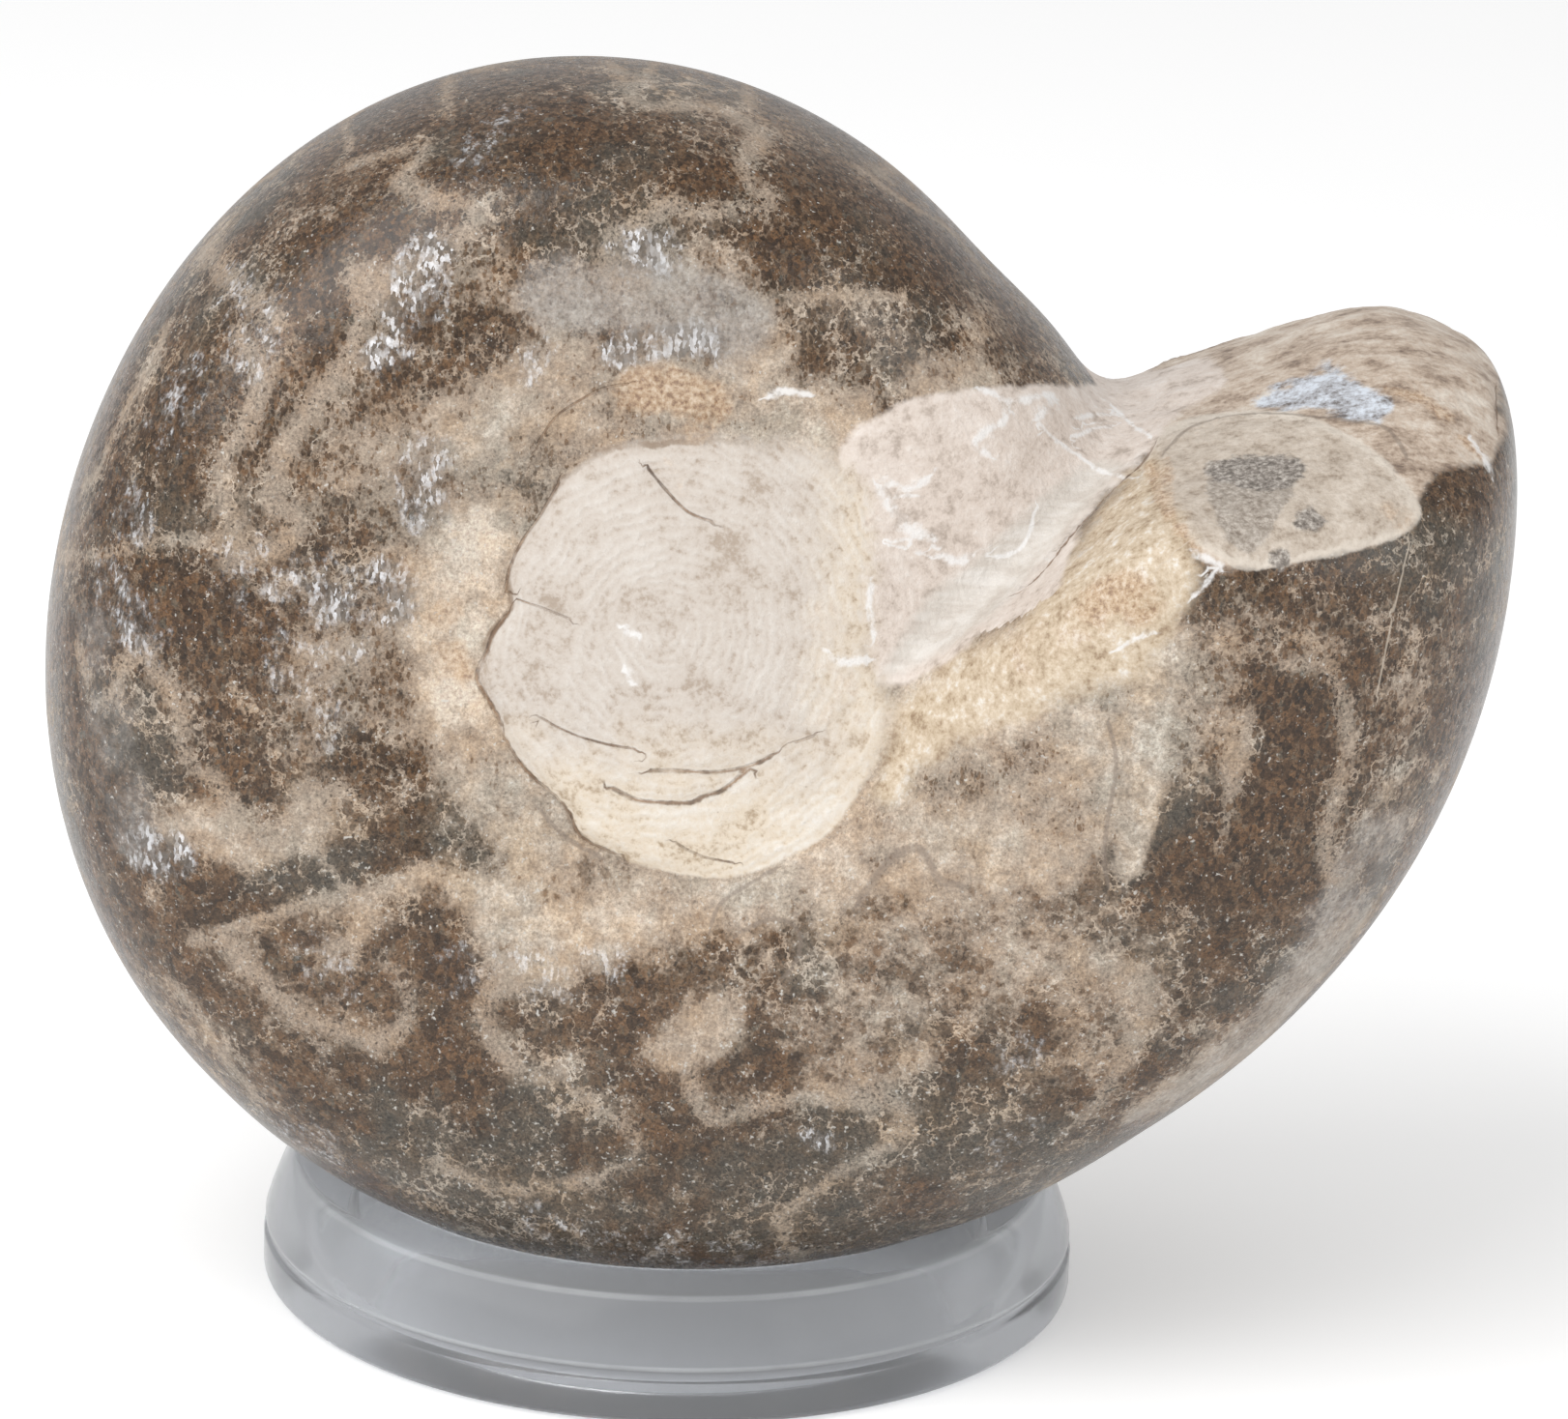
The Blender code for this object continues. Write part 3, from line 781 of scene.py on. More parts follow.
class Graph:
    """Adds nodes to a tree and links them; numbers and sockets can be mixed freely."""

    def __init__(self, tree):
        self.tree = tree
        self.place = 0

    def node(self, kind, **settings):
        node = self.tree.nodes.new(kind)
        node.location = (160 * (self.place // 6), -220 * (self.place % 6))
        self.place += 1
        for name, value in settings.items():
            setattr(node, name, value)
        return node

    def feed(self, socket, value):
        if isinstance(value, bpy.types.NodeSocket):
            self.tree.links.new(value, socket)
        else:
            socket.default_value = value

    def math(self, operation, a, b=0.0, clamp=False):
        node = self.node("ShaderNodeMath", operation=operation, use_clamp=clamp)
        self.feed(node.inputs[0], a)
        self.feed(node.inputs[1], b)
        return node.outputs[0]

    def times(self, *factors):
        product = factors[0]
        for factor in factors[1:]:
            product = self.math("MULTIPLY", product, factor)
        return product

    def total(self, *parts):
        result = parts[0]
        for part in parts[1:]:
            result = self.math("ADD", result, part)
        return result

    def less(self, value, taken, clamp=False):
        return self.math("SUBTRACT", value, taken, clamp)

    def size_of(self, value):
        return self.math("ABSOLUTE", value)

    def larger(self, a, b):
        return self.math("MAXIMUM", a, b)

    def mix_value(self, factor, a, b):
        node = self.node("ShaderNodeMix", data_type="FLOAT")
        for socket, value in zip(node.inputs[:1] + node.inputs[2:4], (factor, a, b)):
            self.feed(socket, value)
        return node.outputs[0]

    def mix_colour(self, factor, a, b, blend="MIX"):
        node = self.node("ShaderNodeMix", data_type="RGBA", blend_type=blend)
        for index, value in ((0, factor), (6, a), (7, b)):
            self.feed(node.inputs[index], value)
        return node.outputs[2]

    def ramp(self, value, stops):
        node = self.node("ShaderNodeValToRGB")
        elements = node.color_ramp.elements
        while len(elements) < len(stops):
            elements.new(0.5)
        for element, (position, colour) in zip(elements, stops):
            element.position = position
            element.color = solid(colour)
        self.feed(node.inputs[0], value)
        return node.outputs[0]

    def step(self, value, low, high, to_low=0.0, to_high=1.0):
        node = self.node("ShaderNodeMapRange", interpolation_type="SMOOTHSTEP")
        for socket, given in zip(node.inputs[:5], (value, low, high, to_low, to_high)):
            self.feed(socket, given)
        return node.outputs[0]

    def attribute(self, name):
        return self.node("ShaderNodeAttribute", attribute_name=name).outputs["Fac"]

    def coordinates(self):
        return self.node("ShaderNodeTexCoord").outputs["Object"]

    def vector_math(self, operation, a, b):
        node = self.node("ShaderNodeVectorMath", operation=operation)
        self.feed(node.inputs[0], a)
        self.feed(node.inputs["Scale" if operation == "SCALE" else 1], b)
        return node.outputs["Value" if operation == "DISTANCE" else 0]

    def length(self, vector):
        return self.vector_math("DISTANCE", vector, (0.0, 0.0, 0.0))

    def parts(self, vector):
        """The X, Y and Z of a vector."""
        node = self.node("ShaderNodeSeparateXYZ")
        self.feed(node.inputs[0], vector)
        return node.outputs

    def noise(self, vector, size, detail=2.0, roughness=0.5):
        """Cloudy noise from 0 to 1, with features of about size metres."""
        node = self.node("ShaderNodeTexNoise")
        for name, value in (
                ("Vector", vector), ("Scale", 1 / size), ("Detail", detail),
                ("Roughness", roughness)):
            self.feed(node.inputs[name], value)
        return node.outputs["Fac"]

    def group(self, tree, **values):
        node = self.node("ShaderNodeGroup", node_tree=tree)
        for name, value in values.items():
            self.feed(node.inputs[name], value)
        return node.outputs


def new_group(name, inputs, outputs):
    """A node group with named sockets: its graph, its input sockets and its output node."""
    tree = bpy.data.node_groups.new(name, "ShaderNodeTree")
    for label, kind, default in inputs:
        socket = tree.interface.new_socket(label, in_out="INPUT", socket_type=kind)
        if default is not None:
            socket.default_value = default
    for label, kind in outputs:
        tree.interface.new_socket(label, in_out="OUTPUT", socket_type=kind)
    graph = Graph(tree)
    given = graph.node("NodeGroupInput").outputs
    result = graph.node("NodeGroupOutput").inputs
    return graph, given, result


def crystals_group():
    """Rounded crystals in a paler ground: where they are, a shade and a glint, and a tilt."""
    graph, given, result = new_group(
        "crystals",
        (("Vector", "NodeSocketVector", None), ("Size", "NodeSocketFloat", 0.001),
         ("Cover", "NodeSocketFloat", 0.5)),
        (("Mask", "NodeSocketFloat"), ("Shade", "NodeSocketFloat"),
         ("Glint", "NodeSocketFloat"), ("Tilt", "NodeSocketVector")),
    )
    middle = (0.5, 0.5, 0.5)
    scale = graph.math("DIVIDE", 1.0, given["Size"])
    wander = graph.node("ShaderNodeTexNoise")
    graph.feed(wander.inputs["Vector"], given["Vector"])
    graph.feed(wander.inputs["Scale"], graph.times(scale, 1.1))
    graph.feed(wander.inputs["Detail"], 2.0)
    shift = graph.vector_math("SUBTRACT", wander.outputs["Color"], middle)
    shift = graph.vector_math("SCALE", shift, graph.times(given["Size"], 1.3))
    cells = graph.node("ShaderNodeTexVoronoi")
    graph.feed(cells.inputs["Vector"], graph.vector_math("ADD", given["Vector"], shift))
    graph.feed(cells.inputs["Scale"], scale)
    shades = graph.node("ShaderNodeSeparateColor")
    graph.feed(shades.inputs[0], cells.outputs["Color"])
    grown = graph.less(graph.times(shades.outputs[0], 0.5), cells.outputs["Distance"])
    cover = graph.less(graph.times(given["Cover"], 1.5), 0.38)
    graph.feed(result["Mask"], graph.step(graph.total(grown, cover), -0.13, 0.17))
    graph.feed(result["Shade"], shades.outputs[1])
    graph.feed(result["Glint"], shades.outputs[2])
    graph.feed(result["Tilt"], graph.vector_math("SUBTRACT", cells.outputs["Color"], middle))
    return graph.tree


def ragged_mask_group():
    """1 inside a distance, 0 outside, with an edge that wanders."""
    graph, given, result = new_group(
        "ragged_mask",
        (("Distance", "NodeSocketFloat", 0.0), ("Vector", "NodeSocketVector", None),
         ("Wander", "NodeSocketFloat", 0.5), ("Grain", "NodeSocketFloat", 0.001),
         ("Softness", "NodeSocketFloat", 0.3)),
        (("Mask", "NodeSocketFloat"),),
    )
    wander = graph.node("ShaderNodeTexNoise")
    graph.feed(wander.inputs["Vector"], given["Vector"])
    graph.feed(wander.inputs["Scale"], graph.math("DIVIDE", 1.0, given["Grain"]))
    graph.feed(wander.inputs["Detail"], 4.0)
    graph.feed(wander.inputs["Roughness"], 0.62)
    swing = graph.times(graph.less(wander.outputs["Fac"], 0.5), given["Wander"])
    edge = graph.total(given["Distance"], swing)
    low = graph.times(given["Softness"], -1.0)
    graph.feed(result["Mask"], graph.step(edge, low, given["Softness"], 1.0, 0.0))
    return graph.tree


class StoneGraph(Graph):
    """The stone's node tree, with the place, the noises and the masks its parts share."""

    def __init__(self, tree, settings):
        super().__init__(tree)
        self.settings = settings
        self.point = self.coordinates()
        self.ragged = ragged_mask_group()
        self.crystals = crystals_group()
        self.fine = self.noise(self.point, FINE_GRAIN, 3.0, 0.7)
        self.medium = self.noise(self.point, MEDIUM_GRAIN, 4.0, 0.65)
        self.cloud = self.noise(self.point, CLOUD_GRAIN, 5.0, 0.62)
        self.broad = self.noise(self.point, BROAD_GRAIN, 3.0, 0.55)

    def ragged_mask(self, distance, wander, softness, grain):
        return self.group(
            self.ragged, Distance=distance, Vector=self.point, Wander=wander, Grain=grain,
            Softness=softness,
        )["Mask"]

    def region(self, name, wander, grain, softness, grow=0.0):
        """Mask of a stored region, grown by some millimetres."""
        return self.ragged_mask(self.less(self.attribute(name), grow), wander, softness, grain)

    def close_to(self, name):
        """1 close to a thin line's real course, which hides where its measure runs wild."""
        return self.step(self.attribute(name + "_reach"), 0.5, 0.9, 1.0, 0.0)

    def line(self, name, wander, softness, grain=0.0012):
        """Mask of stored thin lines."""
        distance = self.less(self.size_of(self.attribute(name)), 1.0)
        return self.times(self.ragged_mask(distance, wander, softness, grain), self.close_to(name))

    def swing(self, value, amount):
        """A noise from 0 to 1 as a swing about zero."""
        return self.times(self.less(value, 0.5), amount)

    def lace(self, size, width):
        """Thin crinkled lines, where a noise of some size crosses its middle."""
        off = self.size_of(self.less(self.noise(self.point, size, 5.0, 0.62), 0.5))
        return self.step(off, width * 0.2, width, 1.0, 0.0)

    def specks(self, size, cover):
        """A few scattered dark specks."""
        return self.group(self.crystals, Vector=self.point, Size=size, Cover=cover)["Mask"]

    def stretched(self, scale, turn=0.0):
        """The place, squeezed along the axes and turned about Y, for streaks."""
        mapping = self.node("ShaderNodeMapping", vector_type="POINT")
        self.feed(mapping.inputs["Vector"], self.point)
        mapping.inputs["Rotation"].default_value = (0.0, math.radians(turn), 0.0)
        mapping.inputs["Scale"].default_value = scale
        return mapping.outputs[0]


# The stone's material, from its crystals up to its cracks

def suture_bands(graph):
    """Bands along the sutures with wandering edges, and how much paler the stone beside them is."""
    reach = graph.attribute("suture")
    band = graph.total(
        graph.times(reach, 1.10), graph.swing(graph.cloud, 3.0), graph.swing(graph.medium, 4.2),
        graph.swing(graph.fine, 2.4),
    )
    fade = graph.step(graph.cloud, 0.32, 0.48, 0.72, 1.0)
    bands = graph.times(graph.step(band, -0.4, 2.1, 1.0, 0.0), fade)
    beside = graph.total(reach, graph.swing(graph.cloud, 6.0))
    return bands, graph.step(beside, 0.5, 5.0, 0.12, 0.0)


def pale_veins(graph, laid):
    """Fine crinkled veins, strongest in dark stone."""
    small = graph.times(graph.lace(0.0017, 0.028), graph.step(graph.cloud, 0.50, 0.62))
    veins = graph.larger(graph.lace(0.0034, 0.020), small)
    in_dark = graph.step(laid, 0.60, 0.30, 0.2, 1.0)
    in_patches = graph.step(graph.broad, 0.38, 0.60, 0.35, 1.0)
    return graph.times(veins, in_dark, in_patches)


def stone_tone(graph, halo):
    """Lightness of the stone: as laid and clouded, and paler beside sutures and along veins."""
    laid = graph.attribute("tone")
    return graph.total(
        graph.times(laid, 1.18), graph.swing(graph.cloud, 0.85), graph.swing(graph.medium, 0.55),
        halo, graph.times(pale_veins(graph, laid), 0.36), -0.06,
    )


def crystal_layers(graph, coarse, cover):
    """Where crystals are, their shade, and the small ones, which tilt the polish too."""
    small = graph.group(
        graph.crystals, Vector=graph.stretched((1.0, 1.0, 0.62)), Size=SMALL_CRYSTAL, Cover=cover)
    big = graph.group(graph.crystals, Vector=graph.point, Size=BIG_CRYSTAL, Cover=cover)
    both = graph.larger(graph.times(big["Mask"], 0.9), graph.times(small["Mask"], 0.5))
    mask = graph.mix_value(coarse, small["Mask"], both)
    shade = graph.mix_value(graph.mix_value(coarse, 0.25, 0.70), small["Shade"], big["Shade"])
    return mask, shade, small


def ground_colour(graph, tone, suture, grey):
    """Colour of the stone between its crystals."""
    settings = graph.settings
    light = graph.mix_value(graph.times(suture, 0.9), tone, settings.suture_tone)
    light = graph.total(light, graph.swing(graph.fine, 0.50), graph.swing(graph.medium, 0.25))
    brown = graph.ramp(light, (
        (0.00, settings.ground_dark), (0.28, settings.ground_brown), (0.52, settings.ground_tan),
        (0.75, settings.ground_light), (1.00, settings.ground_pale),
    ))
    return graph.mix_colour(graph.times(grey, 0.5), brown, graph.ramp(light, GREY_GROUND))


def crystal_colour(graph, shade, tone, grey):
    """Colour of the crystals: brown, grey in some patches, and light in light stone."""
    settings = graph.settings
    colour = graph.ramp(shade, (
        (0.00, settings.crystal_dark), (0.40, settings.crystal_brown),
        (0.75, settings.crystal_red), (1.00, settings.crystal_grey),
    ))
    colour = graph.mix_colour(grey, colour, solid(settings.crystal_grey))
    lit = graph.times(graph.step(tone, 0.30, 0.80), 0.85)
    return graph.mix_colour(lit, colour, solid(settings.crystal_light))


def dusted(graph, colour, tone):
    """Fine dust, and slow changes of hue."""
    dust = graph.ramp(graph.noise(graph.point, DUST_GRAIN, 2.0, 0.8), DUST)
    colour = graph.mix_colour(graph.step(tone, 0.2, 0.7, 0.80, 0.42), colour, dust, "OVERLAY")
    elsewhere = graph.vector_math("ADD", graph.point, (0.3, 0.1, 0.7))
    hue = graph.ramp(graph.noise(elsewhere, 0.0030, 4.0, 0.6), HUES)
    return graph.mix_colour(0.55, colour, hue, "MULTIPLY")


def with_painted_glint_flecks(graph, colour, tone, coarse):
    """White flecks that are painted glints, and dark pits."""
    grains = graph.noise(graph.point, FLECK_GRAIN, 1.0, 0.5)
    glint_fleck = graph.step(grains, graph.mix_value(coarse, 0.67, 0.62), 0.75)
    glint_fleck = graph.times(glint_fleck, graph.step(graph.medium, 0.42, 0.60, 0.1, 0.75))
    colour = graph.mix_colour(glint_fleck, colour, solid(GLINT_FLECK_COLOUR))
    pit = graph.times(graph.step(grains, 0.36, 0.27), graph.step(tone, 0.75, 0.30, 0.25, 0.85))
    return graph.mix_colour(pit, colour, solid(PIT_COLOUR))


def plain_stone(graph):
    """Brown calcite: crystals in a tan ground, and the suture bands that cut through them."""
    height = graph.parts(graph.point)[2]
    suture, halo = suture_bands(graph)
    tone = stone_tone(graph, halo)
    coarse = graph.total(graph.step(height, 0.050, 0.030), graph.swing(graph.broad, 1.6))
    coarse = graph.step(coarse, 0.2, 0.8)
    low = graph.step(height, 0.030, 0.012, 0.0, 0.14)
    grey = graph.times(graph.step(graph.total(graph.broad, low), 0.50, 0.66), 0.65)

    cover = graph.less(0.92, graph.times(tone, 1.15), clamp=True)
    cover = graph.less(cover, graph.times(suture, 0.50))
    crystal, shade, small = crystal_layers(graph, coarse, cover)
    ground = ground_colour(graph, tone, suture, grey)
    inside = crystal_colour(graph, shade, tone, grey)
    colour = graph.mix_colour(graph.times(crystal, 0.88), ground, inside)
    colour = with_painted_glint_flecks(graph, dusted(graph, colour, tone), tone, coarse)
    return colour, graph.mix_value(crystal, 0.40, 0.24), small


def frost_with_painted_glints(graph, colour, matte):
    """Upright crystals with painted silvery glints; their tilt gives real glints as well."""
    needles = graph.group(
        graph.crystals, Vector=graph.stretched((1.0, 1.0, 0.42)), Size=NEEDLE, Cover=0.5)
    glint_silver = graph.step(needles["Glint"], 0.25, 1.0)
    glint_silver = graph.times(glint_silver, graph.step(graph.medium, 0.36, 0.56, 0.3, 1.0))
    frost_painted_glint = graph.step(graph.total(
        graph.attribute("frost_painted_glint"), graph.swing(graph.medium, 1.8), graph.swing(graph.fine, 0.8),
    ), 0.30, 1.15)
    colour = graph.mix_colour(graph.times(frost_painted_glint, 0.86), colour, graph.ramp(glint_silver, PAINTED_GLINT_SILVER))
    return colour, graph.mix_value(frost_painted_glint, matte, 0.16), frost_painted_glint, needles


def with_painted_sheen(graph, colour):
    """Painted sheen: smooth grey reflections on the polish."""
    painted_sheen = graph.step(graph.total(
        graph.attribute("painted_sheen"), graph.swing(graph.cloud, 1.4), graph.swing(graph.medium, 0.8),
    ), 0.15, 1.15)
    return graph.mix_colour(graph.times(painted_sheen, 0.62), colour, graph.ramp(graph.fine, PAINTED_SHEEN_GREYS))


def broken_end(graph, colour):
    """Tan and brown stone of the broken end, with the bluish patch."""
    streaks = graph.noise(graph.stretched((0.55, 1.0, 1.25), -28.0), 0.0018, 4.0, 0.68)
    end_tone = graph.total(
        graph.times(streaks, 0.75), graph.times(graph.cloud, 0.55), graph.swing(graph.fine, 0.35),
    )
    end = graph.region("end", 2.2, 0.003, 0.4)
    colour = graph.mix_colour(end, colour, graph.ramp(end_tone, END_STONE))
    blue = graph.times(graph.region("blue", 3.0, 0.0022, 0.35), 0.95)
    blue_tone = graph.total(graph.times(streaks, 0.6), graph.times(graph.fine, 0.5))
    return graph.mix_colour(blue, colour, graph.ramp(blue_tone, BLUE_STONE)), end


def inner_mould(graph, colour):
    """The round inner mould in the broken end, with its pale lip and its dark middle."""
    eye = graph.region("eye", 1.3, 0.0018, 0.2)
    eye_tone = graph.total(graph.times(graph.medium, 0.7), graph.times(graph.fine, 0.45))
    colour = graph.mix_colour(eye, colour, graph.ramp(eye_tone, MOULD))
    inner = graph.less(1.0, graph.region("eye", 1.6, 0.0016, 0.2, -0.45))
    lip = graph.times(graph.region("eye", 0.8, 0.0012, 0.12, 0.15), inner)
    colour = graph.mix_colour(graph.times(lip, 0.45), colour, solid(MOULD_LIP))
    for name, strength in (("core", 0.55), ("pupil", 0.95)):
        middle = graph.times(graph.region(name, 1.6, 0.0012, 0.2), strength)
        colour = graph.mix_colour(middle, colour, graph.ramp(graph.fine, MOULD_MIDDLE))
    return colour, eye


def pale_fill(graph, colour):
    """The pinkish stone between the whorls, its smooth channel and the cream beside it."""
    cream_tone = graph.total(
        graph.times(graph.medium, 0.7), graph.times(graph.cloud, 0.3), graph.swing(graph.fine, 0.45),
    )
    cream = graph.region("cream", 4.2, 0.0028, 1.0)
    colour = graph.mix_colour(cream, colour, graph.ramp(cream_tone, CREAM_STONE))
    matrix_tone = graph.total(
        graph.times(graph.cloud, 0.4), graph.times(graph.medium, 0.6), graph.swing(graph.fine, 0.30),
    )
    matrix = graph.region("matrix", 1.4, 0.002, 0.3)
    colour = graph.mix_colour(matrix, colour, graph.ramp(matrix_tone, PINK_STONE))
    strokes = graph.noise(graph.stretched((0.16, 1.0, 1.3), 42.0), 0.0012, 3.0, 0.6)
    channel = graph.times(graph.region("channel", 0.9, 0.002, 0.6), 0.85)
    colour = graph.mix_colour(channel, colour, graph.ramp(strokes, CHANNEL_STONE))
    pale = graph.larger(matrix, cream)
    specks = graph.times(graph.specks(0.0009, -0.02), pale, 0.6)
    return graph.mix_colour(specks, colour, solid(FILL_SPECKS)), pale


def growth_arcs(graph, away):
    """Fine arcs round the middle of the plug, as a wave from -1 to 1."""
    flat = graph.vector_math("MULTIPLY", away, (1.0, 0.0, 1.0))
    wobble = graph.total(graph.swing(graph.cloud, 0.0030), graph.swing(graph.medium, 0.0007))
    radius = graph.total(graph.length(flat), wobble)
    arcs = graph.math("SINE", graph.times(radius, 2 * math.pi / ARC_SPACING))
    return graph.times(arcs, graph.step(graph.cloud, 0.35, 0.65, 0.15, 1.0))


def plug_colour(graph, across, height, arcs):
    """Smooth pale stone, rougher and whiter low down and to the right."""
    tone = graph.total(
        graph.times(graph.cloud, 0.45), graph.times(graph.medium, 0.45),
        graph.swing(graph.fine, 0.35), graph.times(arcs, 0.050),
    )
    sway = graph.swing(graph.cloud, 0.01)
    lower = graph.step(graph.total(height, sway), -0.004, -0.013)
    side = graph.times(graph.step(graph.total(across, sway), 0.008, 0.013), 0.85)
    smooth = graph.ramp(tone, PLUG_STONE)
    colour = graph.mix_colour(graph.larger(lower, side), smooth, graph.ramp(tone, PLUG_ROUGH))
    specks = graph.times(graph.specks(0.0007, -0.04), 0.75)
    return graph.mix_colour(specks, colour, solid(PLUG_SPECKS))


def navel_plug(graph, colour, middle):
    """The pale stone of the navel, sharp at the left and blended in at the upper right."""
    away = graph.vector_math("SUBTRACT", graph.point, tuple(middle))
    across, _, height = graph.parts(away)
    arcs = growth_arcs(graph, away)
    blend = graph.step(graph.total(across, height), 0.000, 0.018)
    wander = graph.mix_value(blend, 0.9, 3.2)
    plug = graph.region("plug", wander, 0.0014, graph.mix_value(blend, 0.15, 1.3))
    colour = graph.mix_colour(plug, colour, plug_colour(graph, across, height, arcs))
    off = graph.size_of(graph.total(graph.attribute("plug"), graph.swing(graph.medium, 1.1)))
    rim = graph.times(
        graph.step(off, 0.10, 0.32, 1.0, 0.0), graph.step(graph.cloud, 0.42, 0.58),
        graph.step(across, 0.006, -0.002), 0.75,
    )
    return graph.mix_colour(rim, colour, solid(PLUG_EDGE)), plug, arcs


def thin_marks(graph, colour):
    """Rust, remains of white shell, ridges, cracks and scratches."""
    rust = graph.step(graph.total(
        graph.attribute("rust"), graph.swing(graph.medium, 1.6), graph.swing(graph.cloud, 1.2),
    ), 0.30, 1.0)
    colour = graph.mix_colour(graph.times(rust, 0.68), colour, graph.ramp(graph.fine, RUST_STAIN))
    remains = graph.step(graph.medium, 0.36, 0.52, 0.15, 0.80)
    shell = graph.times(graph.line("shell", 4.4, 0.8, 0.0009), remains)
    colour = graph.mix_colour(shell, colour, solid(SHELL_WHITE))
    ridge = graph.times(graph.line("ridge", 1.4, 0.5), 0.55)
    colour = graph.mix_colour(ridge, colour, solid(RIDGE_BROWN))
    open_parts = graph.step(graph.cloud, 0.38, 0.55, 0.35, 0.85)
    crack = graph.times(graph.line("crack", 3.0, 0.7, 0.0007), open_parts)
    colour = graph.mix_colour(crack, colour, graph.ramp(graph.medium, CRACK_FILL))
    scratch = graph.times(graph.line("scratch", 0.8, 0.5), 0.55)
    return graph.mix_colour(scratch, colour, solid(SCRATCH_TAN))


def polish_relief(graph, arcs, needles, frost_painted_glint, small):
    """Normal of the surface: grain, pits, arcs and cracks, and a tilt for each crystal."""
    rough = graph.attribute("filled")
    grain = graph.times(graph.fine, graph.step(rough, 0.0, 1.0, 0.00005, 0.00012))
    pits = graph.times(graph.medium, rough, 0.00020)
    crack = graph.step(graph.size_of(graph.attribute("crack")), 0.6, 1.8, 1.0, 0.0)
    crack = graph.times(crack, graph.close_to("crack"), -0.00012)
    height = graph.total(grain, pits, graph.times(arcs, 0.000022, rough), crack)
    tilt = graph.vector_math("SCALE", needles["Tilt"], graph.times(frost_painted_glint, 0.55))
    small_tilt = graph.times(graph.less(1.0, rough), 0.10)
    small_tilt = graph.vector_math("SCALE", small["Tilt"], small_tilt)
    normal = graph.node("ShaderNodeNewGeometry").outputs["Normal"]
    normal = graph.vector_math("ADD", graph.vector_math("ADD", normal, tilt), small_tilt)
    bump = graph.node("ShaderNodeBump")
    bump.inputs["Strength"].default_value = 0.75
    bump.inputs["Distance"].default_value = 1.0
    graph.feed(bump.inputs["Height"], height)
    graph.feed(bump.inputs["Normal"], graph.vector_math("NORMALIZE", normal, (0.0, 0.0, 0.0)))
    return bump.outputs[0]


def stone_material(settings, plug_middle):
    """The fossil's polished stone."""
    material = bpy.data.materials.new("polished_stone")
    material.use_nodes = True
    shader = material.node_tree.nodes["Principled BSDF"]
    graph = StoneGraph(material.node_tree, settings)
    colour, matte, small = plain_stone(graph)
    colour, matte, frost_painted_glint, needles = frost_with_painted_glints(graph, colour, matte)
    colour = with_painted_sheen(graph, colour)
    colour, end = broken_end(graph, colour)
    colour, eye = inner_mould(graph, colour)
    colour, pale = pale_fill(graph, colour)
    colour, plug, arcs = navel_plug(graph, colour, plug_middle)
    colour = thin_marks(graph, colour)
    filled = graph.larger(graph.larger(end, eye), pale)
    matte = graph.mix_value(plug, graph.mix_value(filled, matte, 0.48), 0.72)
    graph.feed(shader.inputs["Base Color"], colour)
    graph.feed(shader.inputs["Roughness"], graph.total(matte, graph.swing(graph.fine, 0.15)))
    graph.feed(shader.inputs["Normal"], polish_relief(graph, arcs, needles, frost_painted_glint, small))
    shader.inputs["IOR"].default_value = STONE_BENDING
    return material


# The ring's and the floor's materials

def painted_edge_highlights(graph, away, height):
    """Painted highlights along the ring's turned edges, stronger in some places."""
    section = graph.node("ShaderNodeCombineXYZ")
    flat = graph.vector_math("MULTIPLY", away, (1.0, 1.0, 0.0))
    graph.feed(section.inputs[0], graph.length(flat))
    graph.feed(section.inputs[1], height)
    highlights = 0.0
    for radius, level in RING_HIGHLIGHT_EDGES:
        edge = (radius * MM, level * MM, 0.0)
        off = graph.vector_math("DISTANCE", section.outputs[0], edge)
        highlights = graph.larger(highlights, graph.step(off, 0.12 * MM, 0.30 * MM, 1.0, 0.0))
    cloud = graph.noise(away, 0.006, 4.0, 0.6)
    return graph.times(highlights, graph.step(cloud, 0.3, 0.6, 0.45, 0.9))


def clear_plastic_material(settings):
    """Clear turned plastic, with painted shade at the front and back and on its top land, and
    painted highlights along its edges.
    """
    material = bpy.data.materials.new("clear_turned_plastic")
    material.use_nodes = True
    graph = Graph(material.node_tree)
    shader = material.node_tree.nodes["Principled BSDF"]
    away = graph.vector_math("SUBTRACT", graph.coordinates(), tuple(RING_CENTRE))
    across, _, height = graph.parts(away)
    to_side = graph.math("DIVIDE", graph.size_of(across), RING_SIDE * MM)
    # Painted shade at the front and back, standing for the dark stone seen through the plastic.
    shaded_tint = solid(channel * FRONT_BACK_SHADE for channel in settings.tint)
    body = graph.mix_colour(graph.step(to_side, 0.35, 0.95), shaded_tint, solid(settings.tint))
    # Painted shade on the top land, under the stone.
    land = graph.step(height, 8.3 * MM, 8.6 * MM, 0.0, 0.40)
    body = graph.mix_colour(land, body, solid(LAND_SHADE_TINT))
    # Painted highlights along the turned edges.
    highlights = painted_edge_highlights(graph, away, height)
    graph.feed(shader.inputs["Base Color"], graph.mix_colour(highlights, body, solid(EDGE_HIGHLIGHT_TINT)))
    haze = graph.step(height, 8.7 * MM, 8.2 * MM, settings.haze * 0.5, settings.haze)
    graph.feed(shader.inputs["Roughness"], haze)
    shader.inputs["Transmission Weight"].default_value = settings.clearness
    shader.inputs["IOR"].default_value = settings.bending
    see_through = graph.node("ShaderNodeBsdfTransparent")
    see_through.inputs["Color"].default_value = solid(settings.tint)
    for_lamps = graph.node("ShaderNodeMixShader")
    graph.feed(for_lamps.inputs[0], graph.node("ShaderNodeLightPath").outputs["Is Shadow Ray"])
    graph.feed(for_lamps.inputs[1], shader.outputs[0])
    graph.feed(for_lamps.inputs[2], see_through.outputs[0])
    graph.feed(material.node_tree.nodes["Material Output"].inputs["Surface"], for_lamps.outputs[0])
    return material


